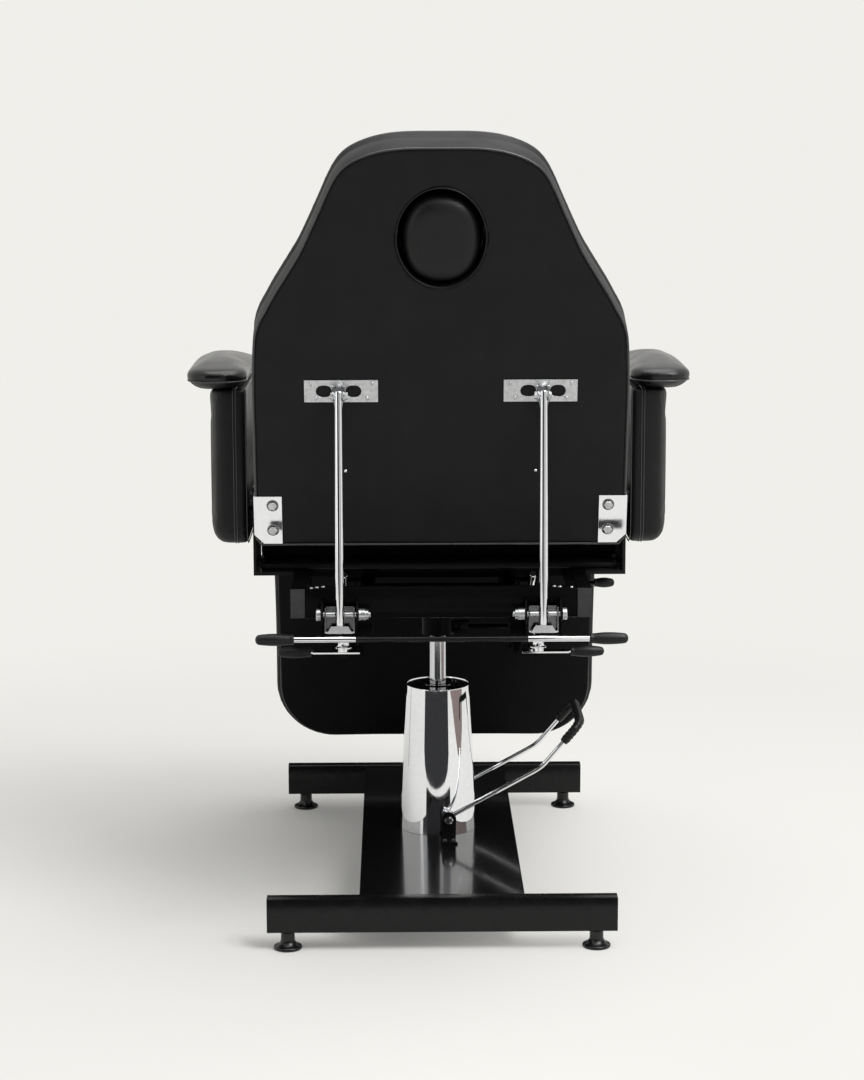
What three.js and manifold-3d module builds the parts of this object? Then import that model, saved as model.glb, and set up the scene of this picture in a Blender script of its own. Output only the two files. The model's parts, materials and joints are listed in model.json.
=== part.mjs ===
// Podiatry chair with a hydraulic column, in millimetres.
// +Z is up, the sitter faces +Y, +X is the sitter's right. The floor is Z = 0.
import * as THREE from 'three';
import { mergeVertices } from 'three/addons/utils/BufferGeometryUtils.js';
import Module from 'manifold-3d';

const wasm = await Module();
wasm.setup();

// Driving dimensions
const deg = Math.PI / 180;
const seatGap = 0.3;
const runGap = 0.3;
const boltGap = 0.3;
const overrun = 4;

const frameLevel = 597;
const floorGap = 30;
const reclineFromUpright = 14 * deg;
const legFromLevel = 80 * deg;

// How much narrower, wider or further out the neighbours of the seat and the base bars are
const beside = { back: 3, leg: 1, bracket: 2, panel: 12, padInner: 2, padOuter: 34, armPin: 17, foot: 34 };

const bar = { length: 580, depth: 29, height: 58, wall: 2.5, round: 3, spacing: 851 };
const footReach = bar.length / 2 - beside.foot;
const foot = { studR: 5, studTop: 25, discR: 23.5, discRim: 5, neckR: 11.5, neckRise: 14 };
const plate = { width: 275, drop: 40, sheet: 4, below: 2.3 };
const pumpBase = { size: 88, height: 70 };
const pumpTube = { r: 38, top: 338, boreFloor: 6 };
const shroud = { lowR: 69.5, topR: 57.8, top: 351, wall: 2 };
const cap = { sheet: 5, recess: 2, boltR: 4, boltHead: 3, boltReach: 30 };
const rod = { r: 15, foot: 214, inHub: 60 };
const hub = { r: 30, low: 443, plateX: 276, plateY: 190, plate: 6 };

const rail = { width: 25, height: 50, wall: 2, round: 3, outer: 248, rear: -375, front: 285 };
const midRailY = 0;
const inner = { x: 125, width: 25, height: 30 };
const seat = { half: 309, board: 9, top: 723, rear: -200, front: 300, round: 16, crown: 8, bow: 3 };
const hingeGap = 4;

const backHalf = seat.half - beside.back;
const back = { half: backHalf, below: 45, above: 631, depth: 105, board: 12, round: 16, crown: 8 };
const faceHole = { up: 486, halfX: 74, halfZ: 83.5 };
const plug = { bossX: 58, collar: 46, rear: 5, round: 12, crown: 6 };
const corner = { width: 43.5, up: 45, down: 40, sheet: 2.5, eyeR: 14, waist: 60, chamfer: 16, flange: 3 };
const cornerBolt = { inset: 28, ups: [29, -15], r: 7, head: 5 };

const strut = { x: 166, r: 7, up: 230, off: 24, below: 26, pinR: 4, eye: 8 };
const clevis = { width: 120, height: 38, sheet: 3, centre: 162, ear: 3, earR: 9, head: 5, headR: 6.5 };
const slot = { length: 26, height: 20, centre: 24 };
const clamp = { level: 560, ear: 2.5, half: 22, up: 12, reach: 10, boltR: 6, washerR: 10 };
const lockPlate = { width: 48, depth: 18, sheet: 2.5, drops: [22, 27] };
const yoke = { half: 27, sheet: 3, up: 22, reach: 14, low: 52, neck: 9, web: 24 };
const boltHead = { r: 10, thick: 7.5, nut: 20, gap: 0.6 };

const release = { level: 523, behind: 20.7, r: 5, coreR: 4.5, sleeveIn: 140, sleeveOut: 246 };
const releaseArm = { width: 10, sheet: 3, pinR: 2.5, pinUp: -45, pinAhead: 19 };
const grip = { r: 10, tipR: 8.5, length: 63, outer: 303, bore: 20 };

const lever = { y: -330, z: 480.5, x: 162, sheet: 3, width: 18, inner: 135, outer: 248, hubR: 9, hubRise: 5 };
const leverStud = { r: 5, collarR: 8, collar: 5, collarUp: 14, nut: 6, plate: 28, sheet: 5 };
const leverGrip = { r: 9.5, tipR: 7.5, length: 56, outer: 272 };

const lock = { r: 4, level: 455, eyeX: 46, eyeR: 10, eye: 8, rise: 534, riseIn: 185, riseOut: 236, bend: 12 };
const lockGrip = { r: 9, tipR: 7.5, length: 36, outer: 317, bore: 12 };
const lockLug = { sheet: 6, reach: 56, width: 20, pinR: 4 };

const sideInner = seat.half + beside.bracket;
const side = {
  inner: sideInner, sheet: 5, flange: 6, rear: -222, front: -70, top: 742, pinR: 6, head: 6, headR: 9,
};
const panelInner = side.inner + side.sheet + beside.panel;
const panel = {
  inner: panelInner, width: 64, rear: -170, front: 130, low: 632, top: 903, round: 26, corner: 40,
};
const armPin = { y: -110, z: 690, r: 8, reach: panelInner + beside.armPin };
const pad = { rear: -192, front: 172, rim: 24, top: 48, corner: 46 };
const padInner = panelInner - beside.padInner;
const padOuter = panelInner + panel.width + beside.padOuter;
const padInset = { foot: 33, low: 9, high: 3.5 };

const legHalf = seat.half + beside.leg;
const leg = { y: 300, z: 588, half: legHalf, near: 6, far: 448, under: 8, board: 12, depth: 100 };
const legPad = { corner: 115, nearCorner: 12, round: 16, crown: 8, boardInset: 10 };
const legHinge = { r: 8.5, pinR: 4, x: 192, half: 14.5, boss: 15, strap: 60, strapSheet: 4 };
const legStrut = { x: 165, up: 250, off: 18, r: 6, over: 14, pinR: 4, eye: 7, ear: 3, earR: 9 };
const legClamp = { level: 470, block: 22, height: 24, pinR: 5, head: 4, headR: 8 };
const hanger = { half: 16, sheet: 3, depth: 30, top: 528, low: 455, web: 4 };

const pedal = { x: 18, z: 124, half: 82, r: 4, shaftR: 6, bushR: 11, bush: 12, bend: 14 };
const pedalKnee = { x: 183, z: 215 };
const pedalTip = { x: 252, z: 296, corner: 24 };
const pedalGrip = { r: 8.5, down: 46, ribs: 22, groove: 1.2 };
const bracket = { y: 93, sheet: 4, width: 30, top: 137, foot: 26 };

// How finely round things are cut
const fine = 28;
const medium = 14;
const coarse = 12;
const ovalSteps = 26;
const bendSteps = 4;
const whole = Infinity;

// Geometry and solids
function place(geometry, x, y, z) {
  return geometry.translate(x, y, z);
}

function block(x0, x1, y0, y1, z0, z1) {
  const geometry = new THREE.BoxGeometry(x1 - x0, y1 - y0, z1 - z0);
  return place(geometry, (x0 + x1) / 2, (y0 + y1) / 2, (z0 + z1) / 2);
}

function roundX(r, x0, x1, y, z, steps = medium) {
  const geometry = new THREE.CylinderGeometry(r, r, x1 - x0, steps).rotateZ(Math.PI / 2);
  return place(geometry, (x0 + x1) / 2, y, z);
}

function roundY(r, y0, y1, x, z, steps = medium) {
  return place(new THREE.CylinderGeometry(r, r, y1 - y0, steps), x, (y0 + y1) / 2, z);
}

function roundZ(r, z0, z1, x, y, steps = medium) {
  const geometry = new THREE.CylinderGeometry(r, r, z1 - z0, steps).rotateX(Math.PI / 2);
  return place(geometry, x, y, (z0 + z1) / 2);
}

function turned(points, steps = medium) {
  const profile = points.map(([r, z]) => new THREE.Vector2(r, z));
  return new THREE.LatheGeometry(profile, steps).rotateX(Math.PI / 2);
}

// A flat shape drawn in Y and Z, made thick along X from x0 to x1
function slabX(points, x0, x1) {
  const shape = new THREE.Shape(points.map(([y, z]) => new THREE.Vector2(y, z)));
  const geometry = new THREE.ExtrudeGeometry(shape, { depth: x1 - x0, bevelEnabled: false });
  const basis = new THREE.Matrix4().makeBasis(
    new THREE.Vector3(0, 1, 0), new THREE.Vector3(0, 0, 1), new THREE.Vector3(1, 0, 0));
  return place(geometry.applyMatrix4(basis), x0, 0, 0);
}

function solid(geometry) {
  const plain = geometry.clone();
  plain.deleteAttribute('normal');
  plain.deleteAttribute('uv');
  const merged = mergeVertices(plain, 1e-4);
  const corners = [];
  for (let i = 0; i < merged.index.count; i += 3) {
    const [a, b, c] = [0, 1, 2].map((k) => merged.index.getX(i + k));
    if (a !== b && b !== c && a !== c) corners.push(a, b, c);
  }
  const vertProperties = new Float32Array(merged.attributes.position.array);
  const triVerts = new Uint32Array(corners);
  return new wasm.Manifold(new wasm.Mesh({ numProp: 3, vertProperties, triVerts }));
}

function fromSolid(manifold) {
  const mesh = manifold.getMesh();
  const geometry = new THREE.BufferGeometry();
  geometry.setAttribute('position', new THREE.BufferAttribute(mesh.vertProperties, 3));
  geometry.setIndex(new THREE.BufferAttribute(mesh.triVerts, 1));
  return geometry;
}

function join(...geometries) {
  return fromSolid(geometries.map(solid).reduce((a, b) => a.add(b)));
}

function cut(geometry, ...cutters) {
  return fromSolid(cutters.map(solid).reduce((a, b) => a.subtract(b), solid(geometry)));
}

// Points of an arc about a centre, from one angle to another
function arc(cx, cy, r, from, to, steps) {
  return Array.from({ length: steps + 1 }, (_, i) => {
    const a = from + ((to - from) * i) / steps;
    return [cx + r * Math.cos(a), cy + r * Math.sin(a)];
  });
}

// An outline that runs counter-clockwise round four rounded corners, its sides drawn in by bow
function paddedOutline(x0, x1, y0, y1, lowR, highR, bow = 0, steps = 4, between = 4) {
  const quarter = Math.PI / 2;
  const corners = [
    arc(x0 + lowR, y0 + lowR, lowR, 2 * quarter, 3 * quarter, steps),
    arc(x1 - lowR, y0 + lowR, lowR, 3 * quarter, 4 * quarter, steps),
    arc(x1 - highR, y1 - highR, highR, 0, quarter, steps),
    arc(x0 + highR, y1 - highR, highR, quarter, 2 * quarter, steps),
  ];
  const inward = [[0, 1], [-1, 0], [0, -1], [1, 0]];
  const points = [];
  corners.forEach((turn, k) => {
    points.push(...turn);
    const from = turn[turn.length - 1];
    const to = corners[(k + 1) % corners.length][0];
    for (let i = 1; i < between; i += 1) {
      const t = i / between;
      const pull = bow * Math.sin(Math.PI * t);
      points.push([
        from[0] + (to[0] - from[0]) * t + inward[k][0] * pull,
        from[1] + (to[1] - from[1]) * t + inward[k][1] * pull,
      ]);
    }
  });
  return points;
}

// A closed padded form: rings of the outline, each set in by an inset and raised to a height.
// Past the last ring the top rises by crown towards the middle.
function padded(outline, rings, crown, crownShares = [0.8, 0.55, 0.28]) {
  const count = outline.length;
  const middle = outline.reduce((sum, p) => [sum[0] + p[0] / count, sum[1] + p[1] / count], [0, 0]);
  const normals = outline.map((_, i) => {
    const next = outline[(i + 1) % count];
    const last = outline[(i + count - 1) % count];
    const [dx, dy] = [next[0] - last[0], next[1] - last[1]];
    const size = Math.hypot(dx, dy);
    return [dy / size, -dx / size];
  });
  const ring = (inset, height, share) => outline.map((p, i) => {
    const x = p[0] - normals[i][0] * inset;
    const y = p[1] - normals[i][1] * inset;
    return [middle[0] + (x - middle[0]) * share, middle[1] + (y - middle[1]) * share, height];
  });
  const [lastInset, lastHeight] = rings[rings.length - 1];
  const levels = rings.map(([inset, height]) => ring(inset, height, 1));
  crownShares.forEach((share) => {
    levels.push(ring(lastInset, lastHeight + crown * (1 - share ** 2), share));
  });
  const points = [[...middle, rings[0][1]], ...levels.flat(), [...middle, lastHeight + crown]];
  const index = [];
  const at = (level, i) => 1 + level * count + (i % count);
  for (let i = 0; i < count; i += 1) {
    index.push(0, at(0, i + 1), at(0, i));
    index.push(at(levels.length - 1, i), at(levels.length - 1, i + 1), points.length - 1);
    for (let k = 0; k + 1 < levels.length; k += 1) {
      index.push(at(k, i), at(k, i + 1), at(k + 1, i + 1));
      index.push(at(k, i), at(k + 1, i + 1), at(k + 1, i));
    }
  }
  const geometry = new THREE.BufferGeometry();
  geometry.setAttribute('position', new THREE.Float32BufferAttribute(points.flat(), 3));
  geometry.setIndex(index);
  return geometry;
}

// Rings of a boxed cushion side: a small round below, a larger one above, drawn in between
const roundShare = 1 - Math.SQRT1_2;
function boxedRings(depth, lowR, highR, draw) {
  return [
    [lowR, 0],
    [lowR * roundShare, lowR * roundShare],
    [0, lowR],
    [draw, (lowR + depth - highR) / 2],
    [0, depth - highR],
    [highR * roundShare, depth - highR * roundShare],
    [highR, depth],
  ];
}

// A straight box tube along one axis, its corners rounded, hollow and open at the far end
function boxTube(width, height, length, round, wall) {
  const outline = (inset, r) => {
    const [x, y] = [width / 2 - inset, height / 2 - inset];
    const points = paddedOutline(-x, x, -y, y, r, r, 0, 2, 1);
    return new THREE.Shape(points.map(([a, b]) => new THREE.Vector2(a, b)));
  };
  const options = { depth: length, bevelEnabled: false };
  const outer = new THREE.ExtrudeGeometry(outline(0, round), options);
  const hollow = new THREE.ExtrudeGeometry(outline(wall, round - wall / 2), options).translate(0, 0, wall);
  return cut(outer, hollow);
}

function boxTubeAlongY(width, height, y0, y1, x, z, round, wall) {
  const tube = boxTube(width, height, y1 - y0, round, wall).rotateX(-Math.PI / 2);
  return place(tube, x, y0, z);
}

function boxTubeAlongX(depth, height, x0, x1, y, z, round, wall) {
  const tube = boxTube(depth, height, x1 - x0, round, wall).rotateX(-Math.PI / 2).rotateZ(-Math.PI / 2);
  return place(tube, x0, y, z);
}

// A rubber grip along X, blind at its outer end, with a bore for the metal that it is pushed on
function gripForm(values, boreR) {
  const { r, tipR, length, bore } = values;
  const tip = r * roundShare;
  const mouth = boreR + seatGap;
  const geometry = turned([
    [0, length - bore], [mouth, length - bore], [mouth, length], [r * 0.8, length], [r, length - r * 0.4],
    [r, length / 2], [tipR, tip * 2], [tipR * 0.8, tip * 0.5], [tipR * 0.45, 0], [0, 0],
  ].reverse(), medium);
  return geometry.rotateY(-Math.PI / 2);
}

// A round bar along a line of points, its radius given point by point
function sweep(points, radiusAt, count) {
  const last = points.length - 1;
  const positions = [];
  const index = [];
  let across = new THREE.Vector3();
  points.forEach((point, i) => {
    const along = points[Math.min(i + 1, last)].clone().sub(points[Math.max(i - 1, 0)]).normalize();
    if (i === 0) across = new THREE.Vector3(along.z, along.x, along.y);
    across.addScaledVector(along, -across.dot(along)).normalize();
    const other = along.clone().cross(across);
    for (let k = 0; k < count; k += 1) {
      const a = (2 * Math.PI * k) / count;
      const r = radiusAt(i);
      positions.push(...point.clone().addScaledVector(across, r * Math.cos(a))
        .addScaledVector(other, r * Math.sin(a)).toArray());
    }
  });
  const at = (i, k) => i * count + (k % count);
  for (let k = 0; k < count; k += 1) {
    for (let i = 0; i < last; i += 1) {
      index.push(at(i, k), at(i, k + 1), at(i + 1, k + 1), at(i, k), at(i + 1, k + 1), at(i + 1, k));
    }
    if (k > 1) index.push(at(0, 0), at(0, k), at(0, k - 1), at(last, 0), at(last, k - 1), at(last, k));
  }
  const geometry = new THREE.BufferGeometry();
  geometry.setAttribute('position', new THREE.Float32BufferAttribute(positions, 3));
  geometry.setIndex(index);
  return geometry;
}

// Materials
const paint = (color, roughness, metalness) =>
  new THREE.MeshStandardMaterial({ color, roughness, metalness });
const finishes = {
  blackPaint: () => paint('#141416', 0.35, 0.4),
  upholstery: () => paint('#1b1b1d', 0.45, 0),
  board: () => paint('#1e1e20', 0.6, 0),
  chrome: () => paint('#d8dadd', 0.08, 1),
  zinc: () => paint('#b9bbbd', 0.35, 1),
  rubber: () => paint('#19191b', 0.7, 0),
  blackPlastic: () => paint('#101012', 0.5, 0),
};

const chair = new THREE.Group();
function add(name, geometry, finish, parent = chair) {
  const mesh = new THREE.Mesh(geometry.toNonIndexed(), finishes[finish]());
  mesh.geometry.computeVertexNormals();
  mesh.name = name;
  parent.add(mesh);
  return mesh;
}
const sides = [['left', -1], ['right', 1]];

// Base: two cross bars, a folded plate between them and four levelling feet
const barTop = floorGap + bar.height;
const barY = bar.spacing / 2;
const plateTop = barTop - plate.below;

function crossBar(y) {
  const [x, top] = [bar.length / 2, barTop];
  const mid = (floorGap + top) / 2;
  const outer = boxTubeAlongX(bar.depth, bar.height, -x, x, y, mid, bar.round, bar.wall);
  const endCap = block(x - bar.wall, x, y - bar.depth / 2 + bar.round, y + bar.depth / 2 - bar.round,
    floorGap + bar.round, top - bar.round);
  const holes = [-1, 1].map((s) => roundZ(foot.studR + boltGap, floorGap - overrun,
    floorGap + bar.wall + overrun, s * footReach, y, medium));
  return cut(join(outer, endCap), ...holes);
}

function basePlate() {
  const [x, y] = [plate.width / 2, barY - bar.depth / 2 - seatGap];
  const inside = block(-x + plate.sheet, x - plate.sheet, -y - overrun, y + overrun,
    plateTop - plate.drop - overrun, plateTop - plate.sheet);
  return cut(block(-x, x, -y, y, plateTop - plate.drop, plateTop), inside);
}

function levellingFoot() {
  const { studR, discR, discRim, neckR, neckRise } = foot;
  return turned([
    [0, 0], [discR - 1.5, 0], [discR, 1.5], [discR, discRim], [neckR + 3, neckRise - 3], [neckR, neckRise],
    [neckR, floorGap - seatGap], [studR, floorGap - seatGap], [studR, floorGap + foot.studTop],
    [0, floorGap + foot.studTop],
  ], medium);
}

add('base_bar_rear', crossBar(-barY), 'blackPaint');
add('base_bar_front', crossBar(barY), 'blackPaint');
add('base_plate', basePlate(), 'blackPaint');
[['rear', -1], ['front', 1]].forEach(([end, t]) => sides.forEach(([name, s]) => {
  add(`levelling_foot_${end}_${name}`, levellingFoot(), 'blackPlastic').position
    .set(s * footReach, t * barY, 0);
}));

// Pump: a block that carries the pedal shaft, the cylinder, the chrome shroud and its cap
const pumpFloor = plateTop + seatGap;
const tubeFloor = pumpFloor + pumpBase.height + seatGap;

function pumpBlock() {
  const half = pumpBase.size / 2;
  const body = block(-half, half, -half, half, pumpFloor, pumpFloor + pumpBase.height);
  return cut(body, roundY(pedal.shaftR + runGap, -half - overrun, half + overrun, pedal.x, pedal.z));
}

function pumpCylinder() {
  const [bore, floor] = [rod.r + runGap, tubeFloor + pumpTube.boreFloor];
  return turned([
    [0, tubeFloor], [pumpTube.r, tubeFloor], [pumpTube.r, pumpTube.top],
    [bore, pumpTube.top], [bore, floor], [0, floor],
  ], fine);
}

function shroudShell() {
  const { lowR, topR, top, wall } = shroud;
  const shell = turned([
    [lowR, pumpFloor], [topR, top], [topR - wall, top], [lowR - wall, pumpFloor], [lowR, pumpFloor],
  ], fine);
  return cut(shell, roundY(pedal.shaftR + 4 * runGap, -lowR - overrun, lowR + overrun, pedal.x, pedal.z));
}

const capTop = shroud.top - cap.recess;
const shroudSlope = (shroud.lowR - shroud.topR) / (shroud.top - pumpFloor);
function shroudCap() {
  const r = shroud.topR - shroud.wall - seatGap;
  const ring = turned([
    [rod.r + 2 * runGap, capTop - cap.sheet], [r, capTop - cap.sheet], [r, capTop],
    [rod.r + 2 * runGap, capTop], [rod.r + 2 * runGap, capTop - cap.sheet],
  ], fine);
  return join(ring, roundZ(cap.boltR, capTop - cap.sheet / 2, capTop + cap.boltHead,
    rod.r + cap.boltReach / 2, cap.boltReach, 6));
}

add('pump_base', pumpBlock(), 'blackPaint');
add('pump_cylinder', pumpCylinder(), 'blackPaint');
add('pump_shroud', shroudShell(), 'chrome');
add('shroud_cap', shroudCap(), 'blackPaint');

// Pump pedal: a bent rod on both sides of the shroud, on one shaft, with a ribbed rubber sleeve
const shroudAtShaft = shroud.lowR - (pedal.z - pumpFloor) * shroudSlope;
const armY = Math.max(pedal.half, shroudAtShaft + pedal.bush / 2 + pedal.r);

const pedalUp = new THREE.Vector3(pedalTip.x - pedalKnee.x, 0, pedalTip.z - pedalKnee.z).normalize();

// The pedal's centre line, from a distance below its tip on one side to the same on the other
function pedalLine(down) {
  const start = new THREE.Vector3(pedal.x, 0, pedal.z);
  const knee = new THREE.Vector3(pedalKnee.x, 0, pedalKnee.z);
  const tip = new THREE.Vector3(pedalTip.x, 0, pedalTip.z);
  const arm = knee.clone().sub(start).normalize();
  const half = new THREE.CurvePath();
  const points = [
    start, knee.clone().addScaledVector(arm, -pedal.bend), knee,
    knee.clone().addScaledVector(pedalUp, pedal.bend), tip.clone().addScaledVector(pedalUp, -down),
    tip.clone().addScaledVector(pedalUp, -pedalTip.corner), tip,
  ].map((point) => point.setY(armY));
  const across = tip.clone().setY(armY - pedalTip.corner);
  if (down === whole) {
    half.add(new THREE.LineCurve3(points[0], points[1]));
    half.add(new THREE.QuadraticBezierCurve3(points[1], points[2], points[3]));
    half.add(new THREE.LineCurve3(points[3], points[5]));
  } else {
    half.add(new THREE.LineCurve3(points[4], points[5]));
  }
  half.add(new THREE.QuadraticBezierCurve3(points[5], points[6], across));
  const near = half.getPoints(bendSteps);
  const far = near.map((point) => point.clone().setY(-point.y)).reverse();
  return [...near, ...far];
}

function pedalYoke() {
  const rodForm = sweep(pedalLine(whole), () => pedal.r, 8);
  const shaft = roundY(pedal.shaftR, -bracket.y - bracket.sheet * 2, bracket.y, pedal.x, pedal.z);
  const bushes = [-1, 1].map((s) => roundY(pedal.bushR, s * armY - pedal.bush / 2,
    s * armY + pedal.bush / 2, pedal.x, pedal.z));
  return join(rodForm, shaft, ...bushes);
}

function pedalSleeve() {
  const line = new THREE.CurvePath();
  const points = pedalLine(pedalGrip.down);
  for (let i = 0; i + 1 < points.length; i += 1) line.add(new THREE.LineCurve3(points[i], points[i + 1]));
  const count = pedalGrip.ribs * 2;
  const spaced = Array.from({ length: count + 1 }, (_, i) => line.getPoint(i / count));
  const outer = sweep(spaced, (i) => pedalGrip.r - (i % 2 ? pedalGrip.groove : 0), 8);
  return cut(outer, sweep(pedalLine(pedalGrip.down + overrun), () => pedal.r + 4 * seatGap, 8));
}

function pedalBracket() {
  const y = -bracket.y - bracket.sheet;
  const upright = block(pedal.x - bracket.width / 2, pedal.x + bracket.width / 2, y, y + bracket.sheet,
    pumpFloor, bracket.top);
  const foot_ = block(pedal.x - bracket.width / 2, pedal.x + bracket.width / 2, y - bracket.foot,
    y + bracket.sheet, pumpFloor, pumpFloor + bracket.sheet);
  return cut(join(upright, foot_), roundY(pedal.shaftR + runGap, y - overrun, y + 2 * overrun,
    pedal.x, pedal.z));
}

add('pedal_bracket', pedalBracket(), 'blackPaint');
add('pedal_yoke', pedalYoke(), 'chrome');
add('pedal_grip', pedalSleeve(), 'rubber');

// Mast: the piston rod, and the hub of the seat frame that turns on it
const hubTop = frameLevel - rail.height - inner.height;
const rodTop = hub.low + rod.inHub;
add('piston_rod', roundZ(rod.r, rod.foot, rodTop, 0, 0, fine), 'chrome');

function swivelHub() {
  const plateBottom = hubTop - seatGap - hub.plate;
  const body = join(
    roundZ(hub.r, hub.low, plateBottom + hub.plate / 2, 0, 0, fine),
    block(-hub.plateX / 2, hub.plateX / 2, -hub.plateY / 2, hub.plateY / 2, plateBottom,
      plateBottom + hub.plate),
    ...[-1, 1].map((t) => block(hub.r / 2, lockLug.reach, -lockLug.width / 2, lockLug.width / 2,
      lock.level + t * (lock.eye / 2 + seatGap) + Math.min(0, t) * lockLug.sheet,
      lock.level + t * (lock.eye / 2 + seatGap) + Math.max(0, t) * lockLug.sheet)),
    roundZ(lockLug.pinR, lock.level - lock.eye, lock.level + lock.eye, lock.eyeX, 0),
  );
  return cut(body, roundZ(rod.r + runGap, hub.low - lockLug.sheet * 2, rodTop + seatGap, 0, 0, fine));
}
add('swivel_hub', swivelHub(), 'blackPaint');

// Swivel lock: a bent rod under the right rail, turning on the hub's lug
function lockLever() {
  const points = [
    [lock.eyeX + lock.eyeR / 2, lock.level], [lock.riseIn, lock.level],
    [lock.riseOut, lock.rise], [lockGrip.outer - lockGrip.length + lockGrip.bore - seatGap, lock.rise],
  ].map(([x, z]) => new THREE.Vector3(x, 0, z));
  const bent = (k) => {
    const before = points[k - 1].clone().sub(points[k]).setLength(lock.bend).add(points[k]);
    const after = points[k + 1].clone().sub(points[k]).setLength(lock.bend).add(points[k]);
    return new THREE.QuadraticBezierCurve3(before, points[k], after).getPoints(bendSteps);
  };
  const rodForm = sweep([points[0], ...bent(1), ...bent(2), points[3]], () => lock.r, 10);
  const eye = roundZ(lock.eyeR, lock.level - lock.eye / 2, lock.level + lock.eye / 2, lock.eyeX, 0);
  return cut(join(rodForm, eye), roundZ(lockLug.pinR + runGap, lock.level - 2 * lock.eye,
    lock.level + 2 * lock.eye, lock.eyeX, 0));
}
add('swivel_lock_lever', lockLever(), 'blackPaint');
add('swivel_lock_grip', gripForm(lockGrip, lock.r), 'rubber').position.set(lockGrip.outer, 0, lock.rise);

// Seat frame: side rails, three cross-members and two inner rails with the leg strut hangers
const railMid = frameLevel - rail.height / 2;
const railLow = frameLevel - rail.height;
const innerX = rail.outer - rail.width - seatGap;
const rearFace = rail.rear;

function crossMember(y) {
  return boxTubeAlongX(rail.width, rail.height, -innerX, innerX, y, railMid, rail.round, rail.wall);
}

const legPivotDrop = leg.z - legClamp.level;
const legRadius = Math.hypot(legStrut.up, legStrut.off);
const legClampY = leg.y - Math.sqrt(legRadius ** 2 - legPivotDrop ** 2);

function innerRail(s) {
  const [y0, y1] = [rail.rear, rail.front];
  const mid = hubTop + inner.height / 2 - seatGap;
  const tube = boxTubeAlongY(inner.width, inner.height, y0, y1, s * inner.x, mid, rail.round, rail.wall);
  const { half, sheet, depth, top, low, web } = hanger;
  const [ya, yb] = [legClampY - depth / 2, legClampY + depth / 2];
  const mirrored = (a, b, ...rest) => block(Math.min(s * a, s * b), Math.max(s * a, s * b), ...rest);
  const ears = [-1, 1].map((t) => {
    const x = legStrut.x + t * half;
    return mirrored(x - sheet / 2, x + sheet / 2, ya, yb, low, top);
  });
  const roof = mirrored(inner.x + inner.width / 2 - sheet / 2, legStrut.x + half + sheet / 2, ya, yb,
    top - web, top);
  const hole = roundX(legClamp.pinR + runGap, s * legStrut.x - 2 * half, s * legStrut.x + 2 * half,
    legClampY, legClamp.level);
  return cut(join(tube, ...ears, roof), hole);
}

function rearCrossMember() {
  const studs = sides.map(([, s]) => join(
    block(s * lever.x - leverStud.plate / 2, s * lever.x + leverStud.plate / 2, rail.rear + rail.wall,
      lever.y + leverStud.plate / 2, railLow - leverStud.sheet, railLow + rail.wall / 2),
    roundZ(leverStud.r, lever.z - leverStud.nut - lever.sheet, railLow - leverStud.sheet / 2,
      s * lever.x, lever.y, coarse),
    roundZ(leverStud.collarR, lever.z + leverStud.collarUp, lever.z + leverStud.collarUp + leverStud.collar,
      s * lever.x, lever.y, coarse),
    roundZ(leverStud.collarR, lever.z - leverStud.nut - lever.sheet, lever.z - lever.sheet / 2 - seatGap,
      s * lever.x, lever.y, 6),
  ));
  const member = crossMember(rail.rear + rail.width / 2);
  return cut(join(member, ...studs), block(-innerX + rail.wall + overrun, innerX + overrun,
    rail.rear + rail.wall, rail.rear + rail.width - rail.wall, railLow + rail.wall, frameLevel - rail.wall));
}

function frontCrossMember() {
  const y = rail.front - rail.width / 2;
  const pieces = [crossMember(y)];
  sides.forEach(([, s]) => {
    const { r, pinR, x, half, boss } = legHinge;
    [-1, 1].forEach((t) => {
      const [a, b] = [x + t * (half + seatGap), x + t * (half + seatGap + boss)].map((v) => s * v);
      const [x0, x1] = [Math.min(a, b), Math.max(a, b)];
      pieces.push(roundX(r, x0, x1, leg.y, leg.z));
      pieces.push(block(x0, x1, rail.front - rail.wall / 2, leg.y, leg.z - r, leg.z));
    });
    pieces.push(roundX(pinR, s * x - half - boss, s * x + half + boss, leg.y, leg.z));
  });
  return join(...pieces);
}

sides.forEach(([name, s]) => {
  const x = s * (rail.outer - rail.width / 2);
  add(`side_rail_${name}`, boxTubeAlongY(rail.width, rail.height, rail.rear, rail.front, x, railMid,
    rail.round, rail.wall), 'blackPaint');
  add(`inner_rail_${name}`, innerRail(s), 'blackPaint');
});
add('rear_cross_member', rearCrossMember(), 'blackPaint');
add('middle_cross_member', crossMember(midRailY), 'blackPaint');
add('front_cross_member', frontCrossMember(), 'blackPaint');

// Seat: a board on the frame and a boxed cushion, undercut behind so that the back can swing level
const mitre = back.below / back.depth;
const seatBoardTop = frameLevel + seatGap + seat.board;
const notchX = back.half - 2 * seatGap - 1;
const notch = (s, z0, z1) => {
  const [a, b] = [s * notchX, s * (seat.half + overrun)];
  const [y0, y1] = [seat.rear - overrun, seat.rear + back.below + hingeGap];
  return block(Math.min(a, b), Math.max(a, b), y0, y1, z0, z1);
};

function seatBoard() {
  const outline = paddedOutline(-seat.half, seat.half, seat.rear, seat.front, seat.round / 2, seat.round);
  const board = padded(outline, [[0, 0], [0, seat.board]], 0, [0.5]);
  place(board, 0, 0, frameLevel + seatGap);
  return cut(board, notch(-1, 0, seat.top), notch(1, 0, seat.top));
}

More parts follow.
